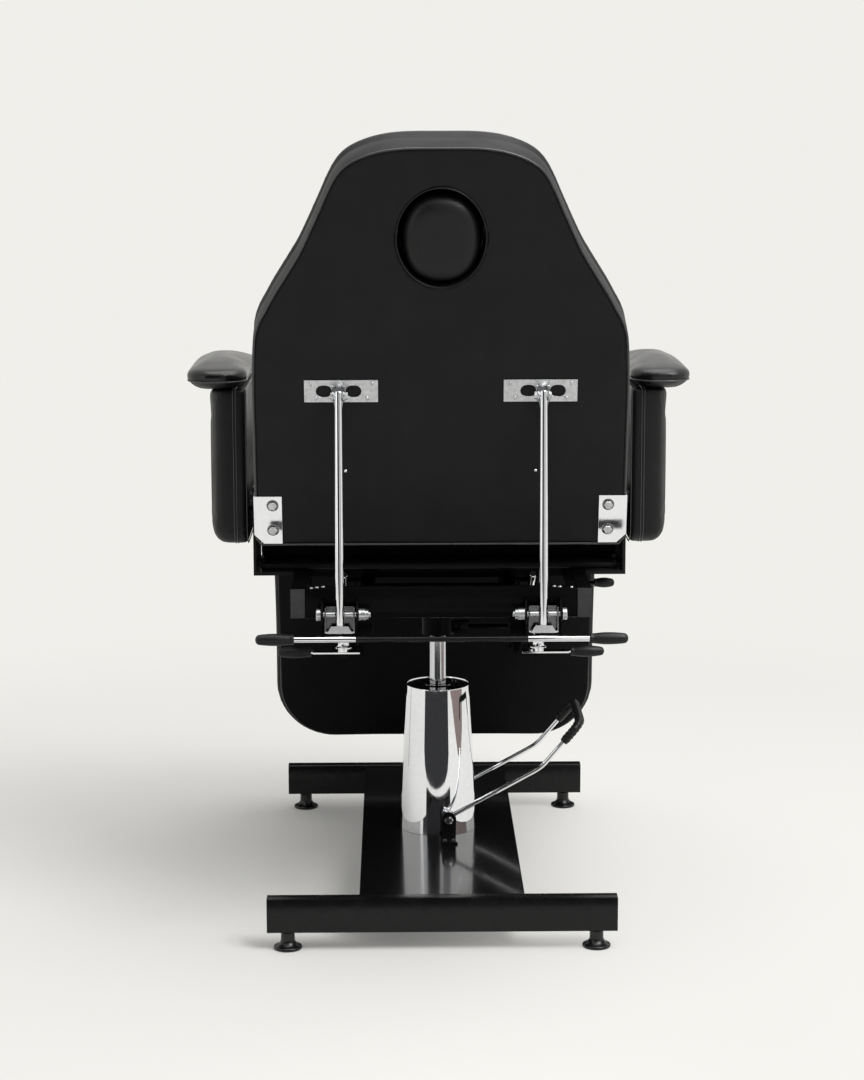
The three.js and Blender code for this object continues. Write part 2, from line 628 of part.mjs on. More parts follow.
function seatCushion() {
  const depth = seat.top - seatBoardTop - seatGap;
  const outline = paddedOutline(-seat.half, seat.half, seat.rear, seat.front, seat.round, seat.round,
    seat.bow, 3, 6);
  const form = padded(outline, boxedRings(depth, seat.round / 4, seat.round, seat.bow), seat.crown);
  place(form, 0, 0, seatBoardTop + seatGap);
  const high = seat.top + 2 * seat.crown;
  const slope = (z) => seat.rear + hingeGap + mitre * (seat.top - z);
  const behind = slabX([
    [seat.rear - overrun, seatBoardTop - overrun], [slope(seatBoardTop - overrun), seatBoardTop - overrun],
    [slope(high), high], [seat.rear - overrun * 4, high],
  ], -seat.half - overrun, seat.half + overrun);
  return cut(form, behind, notch(-1, 0, high), notch(1, 0, high));
}
add('seat_board', seatBoard(), 'board');
add('seat_cushion', seatCushion(), 'upholstery');

// Side brackets: welded to the rails, they carry the back's pivot pins and the armrests' pins
const pivotY = seat.rear;
const pivotZ = seat.top;

function sideBracket(s) {
  const { inner: x0, sheet, flange, rear, front, top, pinR, head, headR } = side;
  const shape = [
    [rear, frameLevel - flange - seatGap], [front, frameLevel - flange - seatGap],
    [front, armPin.z + head], [armPin.y + headR * 2, top - head * 2], [pivotY + headR * 2, top],
    [rear, top],
  ];
  const upright = slabX(shape, Math.min(s * x0, s * (x0 + sheet)), Math.max(s * x0, s * (x0 + sheet)));
  const mirrored = (a, b, ...rest) => block(Math.min(s * a, s * b), Math.max(s * a, s * b), ...rest);
  const shelf = mirrored(rail.outer + seatGap, x0 + sheet / 2, rear, front,
    frameLevel - flange - seatGap, frameLevel - seatGap);
  const spanX = (a, b) => [Math.min(s * a, s * b), Math.max(s * a, s * b)];
  const pivot = roundX(pinR, ...spanX(back.half + 2 * seatGap, x0 + sheet), pivotY, pivotZ);
  const pivotHead = roundX(headR, ...spanX(x0 + sheet / 2, x0 + sheet + head), pivotY, pivotZ, 6);
  const stub = roundX(armPin.r, ...spanX(x0 + sheet / 2, armPin.reach), armPin.y, armPin.z);
  return join(upright, shelf, pivot, pivotHead, stub);
}
sides.forEach(([name, s]) => add(`side_bracket_${name}`, sideBracket(s), 'blackPaint'));

// Armrests: an upholstered side panel on the bracket's pin and a domed pad on top
function armPanel(s) {
  const depth = panel.width;
  const { rear, front, low, top, corner: round } = panel;
  const outline = paddedOutline(rear, front, low, top, round, round / 4);
  const rings = boxedRings(depth, panel.round / 4, panel.round, 0);
  const form = padded(outline, rings, seatGap * 6, [0.5]);
  const toX = new THREE.Matrix4().makeBasis(
    new THREE.Vector3(0, 1, 0), new THREE.Vector3(0, 0, 1), new THREE.Vector3(1, 0, 0));
  form.applyMatrix4(toX).translate(panel.inner, 0, 0);
  const hole = roundX(armPin.r + runGap, panel.inner - overrun, armPin.reach + 2 * runGap,
    armPin.y, armPin.z);
  const bored = cut(form, hole);
  return s > 0 ? bored : mirrorX(bored);
}

function mirrorX(geometry) {
  const copy = geometry.clone().applyMatrix4(new THREE.Matrix4().makeScale(-1, 1, 1));
  const index = copy.index.array;
  for (let i = 0; i < index.length; i += 3) [index[i], index[i + 1]] = [index[i + 1], index[i]];
  return copy;
}

function armPad(s) {
  const outline = paddedOutline(padInner, padOuter, pad.rear, pad.front, pad.corner, pad.corner, 0, 4, 3);
  const form = padded(outline, [
    [padInset.foot, 0], [padInset.low, pad.rim * 0.45], [0, pad.rim], [padInset.high, pad.rim * 1.3],
  ], pad.top - pad.rim * 1.3, [0.85, 0.62, 0.32]);
  place(form, 0, 0, panel.top + seatGap);
  return s > 0 ? form : mirrorX(form);
}
sides.forEach(([name, s]) => {
  add(`arm_panel_${name}`, armPanel(s), 'upholstery');
  add(`arm_pad_${name}`, armPad(s), 'upholstery');
});

// Back: drawn in its own frame, with the pivot at the origin, Z up its front face and -Y to the rear
const backGroup = new THREE.Group();
backGroup.position.set(0, pivotY, pivotZ);
backGroup.rotation.x = reclineFromUpright;
chair.add(backGroup);

// Half widths and heights of the back's outline, as shares of its half width and height
const backOutlineShares = [
  [1, 0.02], [1, 0.14], [0.999, 0.28], [0.998, 0.42], [0.982, 0.531], [0.954, 0.574], [0.912, 0.607],
  [0.85, 0.648], [0.771, 0.7], [0.706, 0.747], [0.65, 0.799], [0.603, 0.852], [0.565, 0.902],
  [0.516, 0.942], [0.446, 0.969], [0.33, 0.99], [0.196, 1],
];

function backOutline(inset) {
  const height = back.above + back.below;
  const half = new THREE.SplineCurve(backOutlineShares.map(([x, z]) =>
    new THREE.Vector2(x * (back.half - inset), (z * height) - back.below)));
  const right = half.getPoints(22).map((p) => [p.x, p.y]);
  const left = right.map(([x, z]) => [-x, z]).reverse();
  const foot_ = [-0.6, -0.2, 0.2, 0.6].map((share) => [share * back.half, -back.below]);
  const ends = [-1, 1].map((s) => [s * (back.half - seat.round / 2), -back.below]);
  return [...right, ...left, ends[0], ...foot_, ends[1]];
}

// A padded form is drawn flat and then stood up with its top facing forwards
function standUp(geometry, rearY) {
  return geometry.rotateX(Math.PI / 2).rotateZ(Math.PI).translate(0, rearY, 0);
}

function ovalOutline(halfX, halfZ, up, steps = ovalSteps) {
  return arc(0, 0, 1, 0, 2 * Math.PI, steps).slice(0, -1).map(([x, z]) => [x * halfX, z * halfZ + up]);
}

const holeCutter = () => {
  const tube = padded(ovalOutline(faceHole.halfX, faceHole.halfZ, faceHole.up), [[0, 0], [0, 2 * back.depth]],
    0, [0.5]);
  return standUp(tube, -1.5 * back.depth);
};

const underCut = () => slabX([
  [overrun * 4, mitre * overrun * 4], [-back.depth - overrun * 4, -back.below - mitre * overrun * 4],
  [-back.depth - overrun * 4, -2 * back.below], [overrun * 4, -2 * back.below],
], -back.half - overrun, back.half + overrun);

function backCushion() {
  const depth = back.depth - back.board - seatGap;
  const form = padded(backOutline(0), boxedRings(depth, back.round / 4, back.round, seat.bow), back.crown);
  return cut(standUp(form, -depth), holeCutter(), underCut());
}

function backBoard() {
  const board = padded(backOutline(seatGap), [[0, 0], [0, back.board]], 0, [0.5]);
  return cut(standUp(board, -back.depth), holeCutter(), underCut());
}

function facePlug() {
  const outline = ovalOutline(faceHole.halfX - seatGap, faceHole.halfZ - seatGap, faceHole.up);
  const inset = faceHole.halfX - plug.bossX;
  const full = back.depth - plug.rear;
  const step = full - plug.collar;
  const form = padded(outline, [
    [inset + plug.round * 2, -plug.rear * 0.6], [inset + plug.round, 0],
    [inset + plug.round * roundShare, plug.round * roundShare], [inset, plug.round],
    [inset, step - plug.round / 2], [0, step], [0, full - plug.round],
    [plug.round * roundShare, full - plug.round * roundShare], [plug.round, full],
  ], plug.crown, [0.7, 0.35]);
  return standUp(form, -full);
}

const rearY = -back.depth - seatGap;
function cornerBracket(s) {
  const { up, down, sheet, eyeR, waist, chamfer, flange } = corner;
  const x = back.half - corner.width;
  const outerX = back.half + seatGap + flange;
  const rear = [
    [x, up], [x, -down], [outerX - chamfer, -down], [outerX, -down + chamfer], [outerX, up],
  ];
  const shape = new THREE.Shape(rear.map(([a, b]) => new THREE.Vector2(a, b)));
  const plateForm = new THREE.ExtrudeGeometry(shape, { depth: sheet, bevelEnabled: false });
  plateForm.rotateX(Math.PI / 2).translate(0, rearY, 0);
  const wing = slabX([
    [rearY - sheet, -down + chamfer], [-waist, -down + chamfer], ...arc(0, 0, eyeR, -120 * deg, 110 * deg, 8),
    [-waist, up * 0.8], [-back.depth + eyeR, up], [rearY - sheet, up],
  ], back.half + seatGap, outerX);
  const bolts = cornerBolt.ups.map((z) => roundY(cornerBolt.r, rearY - sheet - cornerBolt.head,
    rearY - sheet / 2, back.half - cornerBolt.inset, z, 6));
  const form = cut(join(plateForm, wing, ...bolts), roundX(side.pinR + runGap, back.half - overrun,
    outerX + overrun, 0, 0));
  return s > 0 ? form : mirrorX(form);
}

// Upper strut plates: a slotted plate with two ears and the pin that the strut turns on
const strutY = -back.depth - strut.off;
function strutPlate(s) {
  const { width, height, sheet, centre, ear, earR, head, headR } = clevis;
  const y = rearY - sheet;
  const base = block(centre - width / 2, centre + width / 2, y, rearY, strut.up - height / 2,
    strut.up + height / 2);
  const slots = [-1, 1].map((t) => {
    const x = strut.x + t * slot.centre;
    const straight = (slot.length - slot.height) / 2;
    return join(
      block(x - straight, x + straight, y - overrun, rearY + overrun, strut.up - slot.height / 2,
        strut.up + slot.height / 2),
      ...[-1, 1].map((e) => roundY(slot.height / 2, y - overrun, rearY + overrun, x + e * straight,
        strut.up, coarse)));
  });
  const inside = strut.r + runGap;
  const ears = [-1, 1].map((t) => {
    const [a, b] = [strut.x + t * inside, strut.x + t * (inside + ear)];
    const shape = [
      [rearY, strut.up + earR], ...arc(strutY, strut.up, earR, 90 * deg, 270 * deg, 6),
      [rearY, strut.up - earR],
    ];
    return slabX(shape, Math.min(a, b), Math.max(a, b));
  });
  const pin = roundX(strut.pinR, strut.x - inside - ear - head, strut.x + inside + ear + head / 2, strutY,
    strut.up, coarse);
  const nut = roundX(headR, strut.x - inside - ear - head, strut.x - inside - ear, strutY, strut.up, 6);
  const boltEnd = roundX(headR * 0.9, strut.x + inside + ear, strut.x + inside + ear + head / 2, strutY,
    strut.up, 6);
  const form = join(cut(base, ...slots), ...ears, pin, nut, boltEnd);
  return s > 0 ? form : mirrorX(form);
}

add('back_board', backBoard(), 'board', backGroup);
add('back_cushion', backCushion(), 'upholstery', backGroup);
add('face_plug', facePlug(), 'upholstery', backGroup);
sides.forEach(([name, s]) => {
  add(`corner_bracket_${name}`, cornerBracket(s), 'chrome', backGroup);
  add(`strut_plate_${name}`, strutPlate(s), 'zinc', backGroup);
});

// Back struts slide through clamps. Pivot, upper pin and clamp pin make two equal sides, so that
// strut and clamp each turn by half of the back's turn.
const turnedBy = (y, z, angle) => [
  y * Math.cos(angle) - z * Math.sin(angle), y * Math.sin(angle) + z * Math.cos(angle)];
const [pinY, pinZ] = turnedBy(strutY, strut.up, reclineFromUpright).map((v, i) => v + [pivotY, pivotZ][i]);
const strutRadius = Math.hypot(strutY, strut.up);
const clampY = pivotY - Math.sqrt(strutRadius ** 2 - (pivotZ - clamp.level) ** 2);
const strutLean = Math.atan2(clampY - pinY, pinZ - clamp.level);
const strutSpan = Math.hypot(pinY - clampY, pinZ - clamp.level);

function backStrut() {
  const shaft = roundZ(strut.r, -strutSpan - strut.below, strut.eye, 0, 0);
  return cut(shaft, roundX(strut.pinR + runGap, -2 * strut.r, 2 * strut.r, 0, 0, coarse));
}

function strutClamp(s) {
  const { ear, half, up, reach, boltR, washerR } = clamp;
  const outer = yoke.half + yoke.sheet + boltHead.gap;
  const lowest = -lockPlate.drops[1] - lockPlate.sheet / 2;
  const parts = [
    block(-half, half, reach, reach + ear, lowest, up),
    ...[-1, 1].map((t) => {
      const [a, b] = [t * half, t * (half + ear)];
      return block(Math.min(a, b), Math.max(a, b), -reach * 0.7, reach + ear, lowest, up);
    }),
    roundX(boltR, -outer - boltHead.nut, outer + boltHead.thick, 0, 0, coarse),
    ...[[-1, boltHead.nut], [1, boltHead.thick]].map(([t, thick]) => {
      const [a, b] = [t * outer, t * (outer + thick)];
      return roundX(boltHead.r, Math.min(a, b), Math.max(a, b), 0, 0, 6);
    }),
    ...[-1, 1].map((t) => {
      const [a, b] = [t * (half + ear / 2), t * (yoke.half - 2 * seatGap)];
      return roundX(washerR, Math.min(a, b), Math.max(a, b), 0, 0, coarse);
    }),
    ...lockPlate.drops.map((z) => block(-lockPlate.width / 2, lockPlate.width / 2, -lockPlate.depth / 2,
      lockPlate.depth / 2 + reach / 2, -z - lockPlate.sheet, -z)),
  ];
  const bore = roundZ(strut.r + runGap + seatGap, -2 * lockPlate.drops[1], 2 * up, 0, 0);
  const form = cut(join(...parts), bore);
  return s > 0 ? form : mirrorX(form);
}

function strutBracket() {
  const { half, sheet, up, reach, low, neck, web } = yoke;
  const [y, z] = [clampY, clamp.level];
  const face = rearFace - seatGap;
  const ear = (t) => slabX([
    [face, z + up], [y, z + up], ...arc(y, z, reach, 90 * deg, 250 * deg, 6).slice(1),
    [y + neck, z - web], [y + neck, z - low], [y + neck + reach, z - low], [face, z - web],
  ], Math.min(t * half, t * (half + sheet)), Math.max(t * half, t * (half + sheet)));
  const webForm = block(-half - sheet / 2, half + sheet / 2, face - sheet, face, z - neck, z + up);
  const hole = roundX(clamp.boltR + runGap, -2 * half, 2 * half, y, z);
  const pinHole = roundX(releaseArm.pinR + runGap, -2 * half, 2 * half, clampY + releaseArm.pinAhead,
    z + releaseArm.pinUp);
  return cut(join(webForm, ear(-1), ear(1)), hole, pinHole);
}

sides.forEach(([name, s]) => {
  const strutGroup = new THREE.Group();
  strutGroup.position.set(s * strut.x, pinY, pinZ);
  strutGroup.rotation.x = strutLean;
  chair.add(strutGroup);
  add(`back_strut_${name}`, backStrut(), 'chrome', strutGroup);
  const clampGroup = new THREE.Group();
  clampGroup.position.set(s * strut.x, clampY, clamp.level);
  clampGroup.rotation.x = strutLean;
  chair.add(clampGroup);
  add(`strut_clamp_${name}`, strutClamp(s), 'chrome', clampGroup);
  add(`strut_bracket_${name}`, strutBracket(), 'chrome').position.x = s * strut.x;
});

// Back release bar on two arms, with a rubber grip at each end
const releaseY = clampY - release.behind;
const releasePin = { y: clampY + releaseArm.pinAhead, z: clamp.level + releaseArm.pinUp };

function releaseBar() {
  const { r, coreR, sleeveIn, sleeveOut, level } = release;
  const parts = [roundX(coreR, -sleeveIn - r, sleeveIn + r, releaseY, level, medium)];
  sides.forEach(([, s]) => {
    parts.push(roundX(r, Math.min(s * sleeveIn, s * sleeveOut), Math.max(s * sleeveIn, s * sleeveOut),
      releaseY, level, medium));
    const x = strut.x + yoke.half + yoke.sheet + seatGap;
    const [a, b] = [s * x, s * (x + releaseArm.sheet)];
    const span = Math.hypot(releasePin.y - releaseY, releasePin.z - level);
    const tilt = Math.atan2(releasePin.z - level, releasePin.y - releaseY);
    const link = block(Math.min(a, b), Math.max(a, b), 0, span, -releaseArm.width / 2, releaseArm.width / 2);
    link.rotateX(tilt).translate(0, releaseY, level);
    parts.push(link);
    parts.push(roundX(releaseArm.width / 2, Math.min(a, b), Math.max(a, b), releasePin.y,
      releasePin.z, coarse));
    const tip = s * (strut.x + yoke.half + seatGap);
    parts.push(roundX(releaseArm.pinR, Math.min(tip, a + s), Math.max(tip, a + s), releasePin.y,
      releasePin.z, coarse));
  });
  return join(...parts);
}
add('back_release_bar', releaseBar(), 'chrome');
sides.forEach(([name, s]) => {
  const mesh = add(`release_grip_${name}`, gripForm(grip, release.r), 'rubber');
  mesh.position.set(s * grip.outer, releaseY, release.level);
  mesh.rotation.z = s > 0 ? 0 : Math.PI;
});

// Leg rest release levers: flat strips that turn on the studs below the rear cross-member
function legLever(s) {
  const { y, z, x, sheet, width, inner: near, outer, hubR, hubRise } = lever;
  const span = (a, b) => [Math.min(s * a, s * b), Math.max(s * a, s * b)];
  const strip = block(...span(near, outer), y - width / 2, y + width / 2, z - sheet / 2, z + sheet / 2);
  const tongue = roundX(sheet, ...span(leverGrip.outer - leverGrip.length, outer), y, z, coarse);
  const boss = roundZ(hubR, z, z + sheet / 2 + hubRise, s * x, y);
  const form = join(strip, boss, tongue);
  const trim = [-1, 1].map((t) => block(...span(leverGrip.outer - leverGrip.length - sheet, outer + sheet),
    t > 0 ? y + leverGrip.r / 2 : y - width, t > 0 ? y + width : y - leverGrip.r / 2, z - width, z + width));
  return cut(form, roundZ(leverStud.r + runGap, z - width, z + width, s * x, y, coarse), ...trim);
}
const tongueR = Math.hypot(leverGrip.r / 2, lever.sheet / 2);
sides.forEach(([name, s]) => {
  add(`leg_lever_${name}`, legLever(s), 'chrome');
  const mesh = add(`leg_lever_grip_${name}`, gripForm({ ...leverGrip, bore: lever.outer - leverGrip.outer
    + leverGrip.length + seatGap }, tongueR), 'rubber');
  mesh.position.set(s * leverGrip.outer, lever.y, lever.z);
  mesh.rotation.z = s > 0 ? 0 : Math.PI;
});

// Leg rest: drawn level, with the hinge at the origin, Y away from the seat and Z through its depth
const legGroup = new THREE.Group();
legGroup.position.set(0, leg.y, leg.z);
legGroup.rotation.x = -legFromLevel;
chair.add(legGroup);

function legOutline(inset, bow) {
  return paddedOutline(-leg.half + inset, leg.half - inset, leg.near, leg.far - inset, legPad.nearCorner,
    legPad.corner, bow, 4, 4);
}

function legBoard() {
  const board = padded(legOutline(legPad.boardInset, 0), [[0, 0], [0, leg.board]], 0, [0.5]);
  place(board, 0, 0, leg.under);
  const parts = [board];
  sides.forEach(([, s]) => {
    const { r, x, half, strap, strapSheet } = legHinge;
    parts.push(roundX(r, s * x - half, s * x + half, 0, 0, coarse));
    parts.push(block(s * x - half, s * x + half, 0, strap, leg.under - strapSheet,
      leg.under + leg.board / 2));
    [-1, 1].forEach((t) => {
      const inside = legStrut.r + runGap;
      const at = s * legStrut.x + t * inside;
      const out = at + t * legStrut.ear;
      const shape = [
        [legStrut.up - legStrut.earR, leg.under + leg.board / 2],
        ...arc(legStrut.up, -legStrut.off, legStrut.earR, Math.PI, 2 * Math.PI, 6),
        [legStrut.up + legStrut.earR, leg.under + leg.board / 2],
      ];
      parts.push(slabX(shape, Math.min(at, out), Math.max(at, out)));
    });
    const reach = legStrut.r + runGap + legStrut.ear + seatGap * 6;
    parts.push(roundX(legStrut.pinR, s * legStrut.x - reach, s * legStrut.x + reach, legStrut.up,
      -legStrut.off, coarse));
  });
  const pins = sides.map(([, s]) => roundX(legHinge.pinR + runGap, s * legHinge.x - 2 * legHinge.half,
    s * legHinge.x + 2 * legHinge.half, 0, 0, coarse));
  return cut(join(...parts), ...pins);
}

function legCushion() {
  const low = leg.under + leg.board + seatGap;
  const depth = leg.under + leg.depth - low;
  return place(padded(legOutline(0, seat.bow), boxedRings(depth, legPad.round / 4, legPad.round, seat.bow),
    legPad.crown), 0, 0, low);
}
add('leg_board', legBoard(), 'board', legGroup);
add('leg_cushion', legCushion(), 'upholstery', legGroup);

// Leg struts and their clamps, on the same equal-sided rule as the back's
const [legPinY, legPinZ] = turnedBy(legStrut.up, -legStrut.off, -legFromLevel)
  .map((v, i) => v + [leg.y, leg.z][i]);
const legSpan = Math.hypot(legPinY - legClampY, legPinZ - legClamp.level);
const legLean = Math.atan2(legPinY - legClampY, legClamp.level - legPinZ);
const openAngle = Math.atan2(-legStrut.off, legStrut.up) - Math.atan2(-legPivotDrop, legClampY - leg.y);
const levelSpan = 2 * legRadius * Math.abs(Math.sin(openAngle / 2));

function legRod() {
  const shaft = roundZ(legStrut.r, -legStrut.eye, levelSpan + legStrut.over, 0, 0);
  return cut(shaft, roundX(legStrut.pinR + runGap, -2 * legStrut.r, 2 * legStrut.r, 0, 0, coarse));
}

function legClampBlock() {
  const { block: size, height, pinR, head, headR } = legClamp;
  const outer = hanger.half + hanger.sheet / 2 + seatGap;
  const form = join(
    block(-size / 2, size / 2, -size / 2, size / 2, -height / 2, height / 2),
    roundX(pinR, -outer - head, outer + head, 0, 0),
    ...[-1, 1].map((t) => {
      const [a, b] = [t * outer, t * (outer + head)];
      return roundX(headR, Math.min(a, b), Math.max(a, b), 0, 0, 6);
    }));
  return cut(form, roundZ(legStrut.r + runGap, -height, height, 0, 0));
}
sides.forEach(([name, s]) => {
  const rodGroup = new THREE.Group();
  rodGroup.position.set(s * legStrut.x, legPinY, legPinZ);
  rodGroup.rotation.x = legLean;
  chair.add(rodGroup);
  add(`leg_strut_${name}`, legRod(), 'chrome', rodGroup);
  const clampGroup = new THREE.Group();
  clampGroup.position.set(s * legStrut.x, legClampY, legClamp.level);
  clampGroup.rotation.x = legLean;
  chair.add(clampGroup);
  add(`leg_clamp_${name}`, legClampBlock(), 'blackPaint', clampGroup);
});

// The origin is the middle of the footprint of the whole chair, on the floor
const group = new THREE.Group();
group.add(chair);
group.updateMatrixWorld(true);
const footprint = new THREE.Box3().setFromObject(chair, true);
chair.position.y = -(footprint.min.y + footprint.max.y) / 2;

export default group;
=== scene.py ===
"""The look of the podiatry chair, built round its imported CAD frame. Metres, Z up, +Y the way the sitter faces."""

import json
import math

import bmesh
import bpy
from mathutils import Matrix, Vector, kdtree


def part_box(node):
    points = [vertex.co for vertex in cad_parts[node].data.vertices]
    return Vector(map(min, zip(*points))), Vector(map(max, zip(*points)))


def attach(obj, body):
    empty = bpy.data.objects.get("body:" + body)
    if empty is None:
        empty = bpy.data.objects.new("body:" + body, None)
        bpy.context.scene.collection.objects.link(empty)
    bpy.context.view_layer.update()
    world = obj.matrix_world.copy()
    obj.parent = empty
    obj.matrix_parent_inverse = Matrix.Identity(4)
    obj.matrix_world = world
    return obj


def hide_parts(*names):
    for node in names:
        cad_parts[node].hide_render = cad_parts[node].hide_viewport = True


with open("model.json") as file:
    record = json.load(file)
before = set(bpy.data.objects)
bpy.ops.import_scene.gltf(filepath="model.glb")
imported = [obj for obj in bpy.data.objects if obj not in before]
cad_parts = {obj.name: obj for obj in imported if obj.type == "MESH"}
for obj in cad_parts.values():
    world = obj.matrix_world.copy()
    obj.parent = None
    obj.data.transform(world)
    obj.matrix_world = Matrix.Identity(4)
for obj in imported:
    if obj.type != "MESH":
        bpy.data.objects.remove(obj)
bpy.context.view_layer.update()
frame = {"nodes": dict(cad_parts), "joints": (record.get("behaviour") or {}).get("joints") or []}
nodes = frame["nodes"]
scene = bpy.context.scene
MM = 0.001
QUARTER = math.pi / 2
SIDES = (("left", -1), ("right", 1))
NO_TURN = Matrix.Identity(4)
UPSIDE_DOWN = Matrix.Rotation(math.pi, 4, "X")


def middle(node):
    low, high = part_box(node)
    return (low + high) / 2


def mix(a, b, t):
    return a + (b - a) * t


def mm(*values):
    return tuple(v * MM for v in values)


def in_mm(*points):
    return [mm(*p) for p in points]


def at(x, y, z):
    return Matrix.Translation((x, y, z))


def pin_of(name):
    return Vector(next(joint["pos_m"] for joint in frame["joints"] if joint["name"] == name))


def pairs(*names):
    """Each name with the ending of either side."""
    return [f"{name}_{side}" for name in names for side, _ in SIDES]


# Places in the frame

COLUMN = middle("piston_rod")
BACK_PIVOT = pin_of("back_recline")
LEG_PIVOT = pin_of("leg_raise")
RECLINE = math.radians(14)
LEG_DOWN = math.radians(80)
TO_BACK = at(*BACK_PIVOT) @ Matrix.Rotation(RECLINE, 4, "X")
TO_LEG = at(*LEG_PIVOT) @ Matrix.Rotation(-LEG_DOWN, 4, "X")


# Camera

CAMERA_AT = (-0.0705, -4.3821, 1.3663)
PITCH, YAW, ROLL = 0.1703, 0.01382, -0.0020
FOCAL_PX, LONG_SIDE_PX, SENSOR_MM = 2488.74, 1080, 36


def place_camera():
    data = bpy.data.cameras.new("camera")
    data.sensor_width = SENSOR_MM
    data.lens = SENSOR_MM * FOCAL_PX / LONG_SIDE_PX
    data.clip_end = 100
    camera = bpy.data.objects.new("camera", data)
    heading, tilt = Matrix.Rotation(-YAW, 4, "Z"), Matrix.Rotation(QUARTER - PITCH, 4, "X")
    camera.matrix_world = at(*CAMERA_AT) @ at(0, COLUMN.y, 0) @ heading @ tilt @ Matrix.Rotation(ROLL, 4, "Z")
    scene.collection.objects.link(camera)
    scene.camera = camera


place_camera()


# Materials


def node(tree, kind, *feeds, **values):
    """A shader node: the feeds are linked to its inputs in order, and a named input takes a value or a link."""
    made = tree.nodes.new(kind)
    for key, value in [*enumerate(feeds), *values.items()]:
        if isinstance(value, bpy.types.NodeSocket):
            tree.links.new(value, made.inputs[key])
        elif key in made.inputs:
            made.inputs[key].default_value = value
        else:
            setattr(made, key, value)
    return made


# The noise's working range, and the sharpness range and share of the painted edge highlight.
NOISE_RANGE, EDGE_HIGHLIGHT_RANGE, EDGE_HIGHLIGHT_SHARE = (0.3, 0.7), (0.54, 0.62), (0.0, 0.5)


def mapped(tree, value, from_min, from_max, to_min, to_max, **more):
    limits = {"From Min": from_min, "From Max": from_max, "To Min": to_min, "To Max": to_max}
    return node(tree, "ShaderNodeMapRange", value, **limits, **more).outputs["Result"]


def blank_material(name):
    made = bpy.data.materials.new(name)
    made.use_nodes = True
    made.node_tree.nodes.clear()
    return made


def material(name, color, rough, metallic=0.0, specular=0.5, tint=0.12, bumps=(), coat=0.0, coat_ior=1.5,
             coat_rough=0.08, patch=30.0, stretch=(1, 1, 1), edge_highlight=None):
    """A procedural finish: patchy colour and roughness, layers of bump and, given an edge colour, paler sharp edges
    that are a painted highlight.
    """
    made = bpy.data.materials.new(name)
    made.use_nodes = True
    tree = made.node_tree
    shader = tree.nodes["Principled BSDF"]
    levels = {"Metallic": metallic, "Specular IOR Level": specular, "Coat Weight": coat,
              "Coat Roughness": coat_rough, "Coat IOR": coat_ior}
    for key, value in levels.items():
        shader.inputs[key].default_value = value
    where = node(tree, "ShaderNodeTexCoord").outputs["Object"]
    place = node(tree, "ShaderNodeMapping", where, Scale=stretch).outputs["Vector"]

    def grain(scale, detail=3.0):
        return node(tree, "ShaderNodeTexNoise", place, Scale=scale, Detail=detail).outputs["Fac"]

    tree.links.new(mapped(tree, grain(patch), *NOISE_RANGE, *rough), shader.inputs["Roughness"])
    shade = node(tree, "ShaderNodeValToRGB", grain(patch * 1.7, 6.0))
    for stop, position, factor in zip(shade.color_ramp.elements, NOISE_RANGE, (1 - tint, 1 + tint)):
        stop.position = position
        stop.color = [c * factor for c in color] + [1]
    result = shade.outputs["Color"]
    # Painted highlight: sharp convex edges are mixed towards the paler edge colour.
    if edge_highlight:
        edge = node(tree, "ShaderNodeNewGeometry").outputs["Pointiness"]
        result = node(tree, "ShaderNodeMixRGB", mapped(tree, edge, *EDGE_HIGHLIGHT_RANGE, *EDGE_HIGHLIGHT_SHARE), result,
                      Color2=[*edge_highlight, 1]).outputs["Color"]
    tree.links.new(result, shader.inputs["Base Color"])
    normal = shader.inputs["Normal"]
    for kind, scale, strength, depth in reversed(bumps):
        if kind == "cells":
            height = node(tree, "ShaderNodeTexVoronoi", place, feature="DISTANCE_TO_EDGE",
                          Scale=scale).outputs["Distance"]
        else:
            height = grain(scale, 4.0)
        bump = node(tree, "ShaderNodeBump", Height=height, Strength=strength, Distance=depth)
        tree.links.new(bump.outputs["Normal"], normal)
        normal = bump.inputs["Normal"]
    return made


def pitted(scale, strength, depth):
    return ("noise", scale, strength, depth * MM)


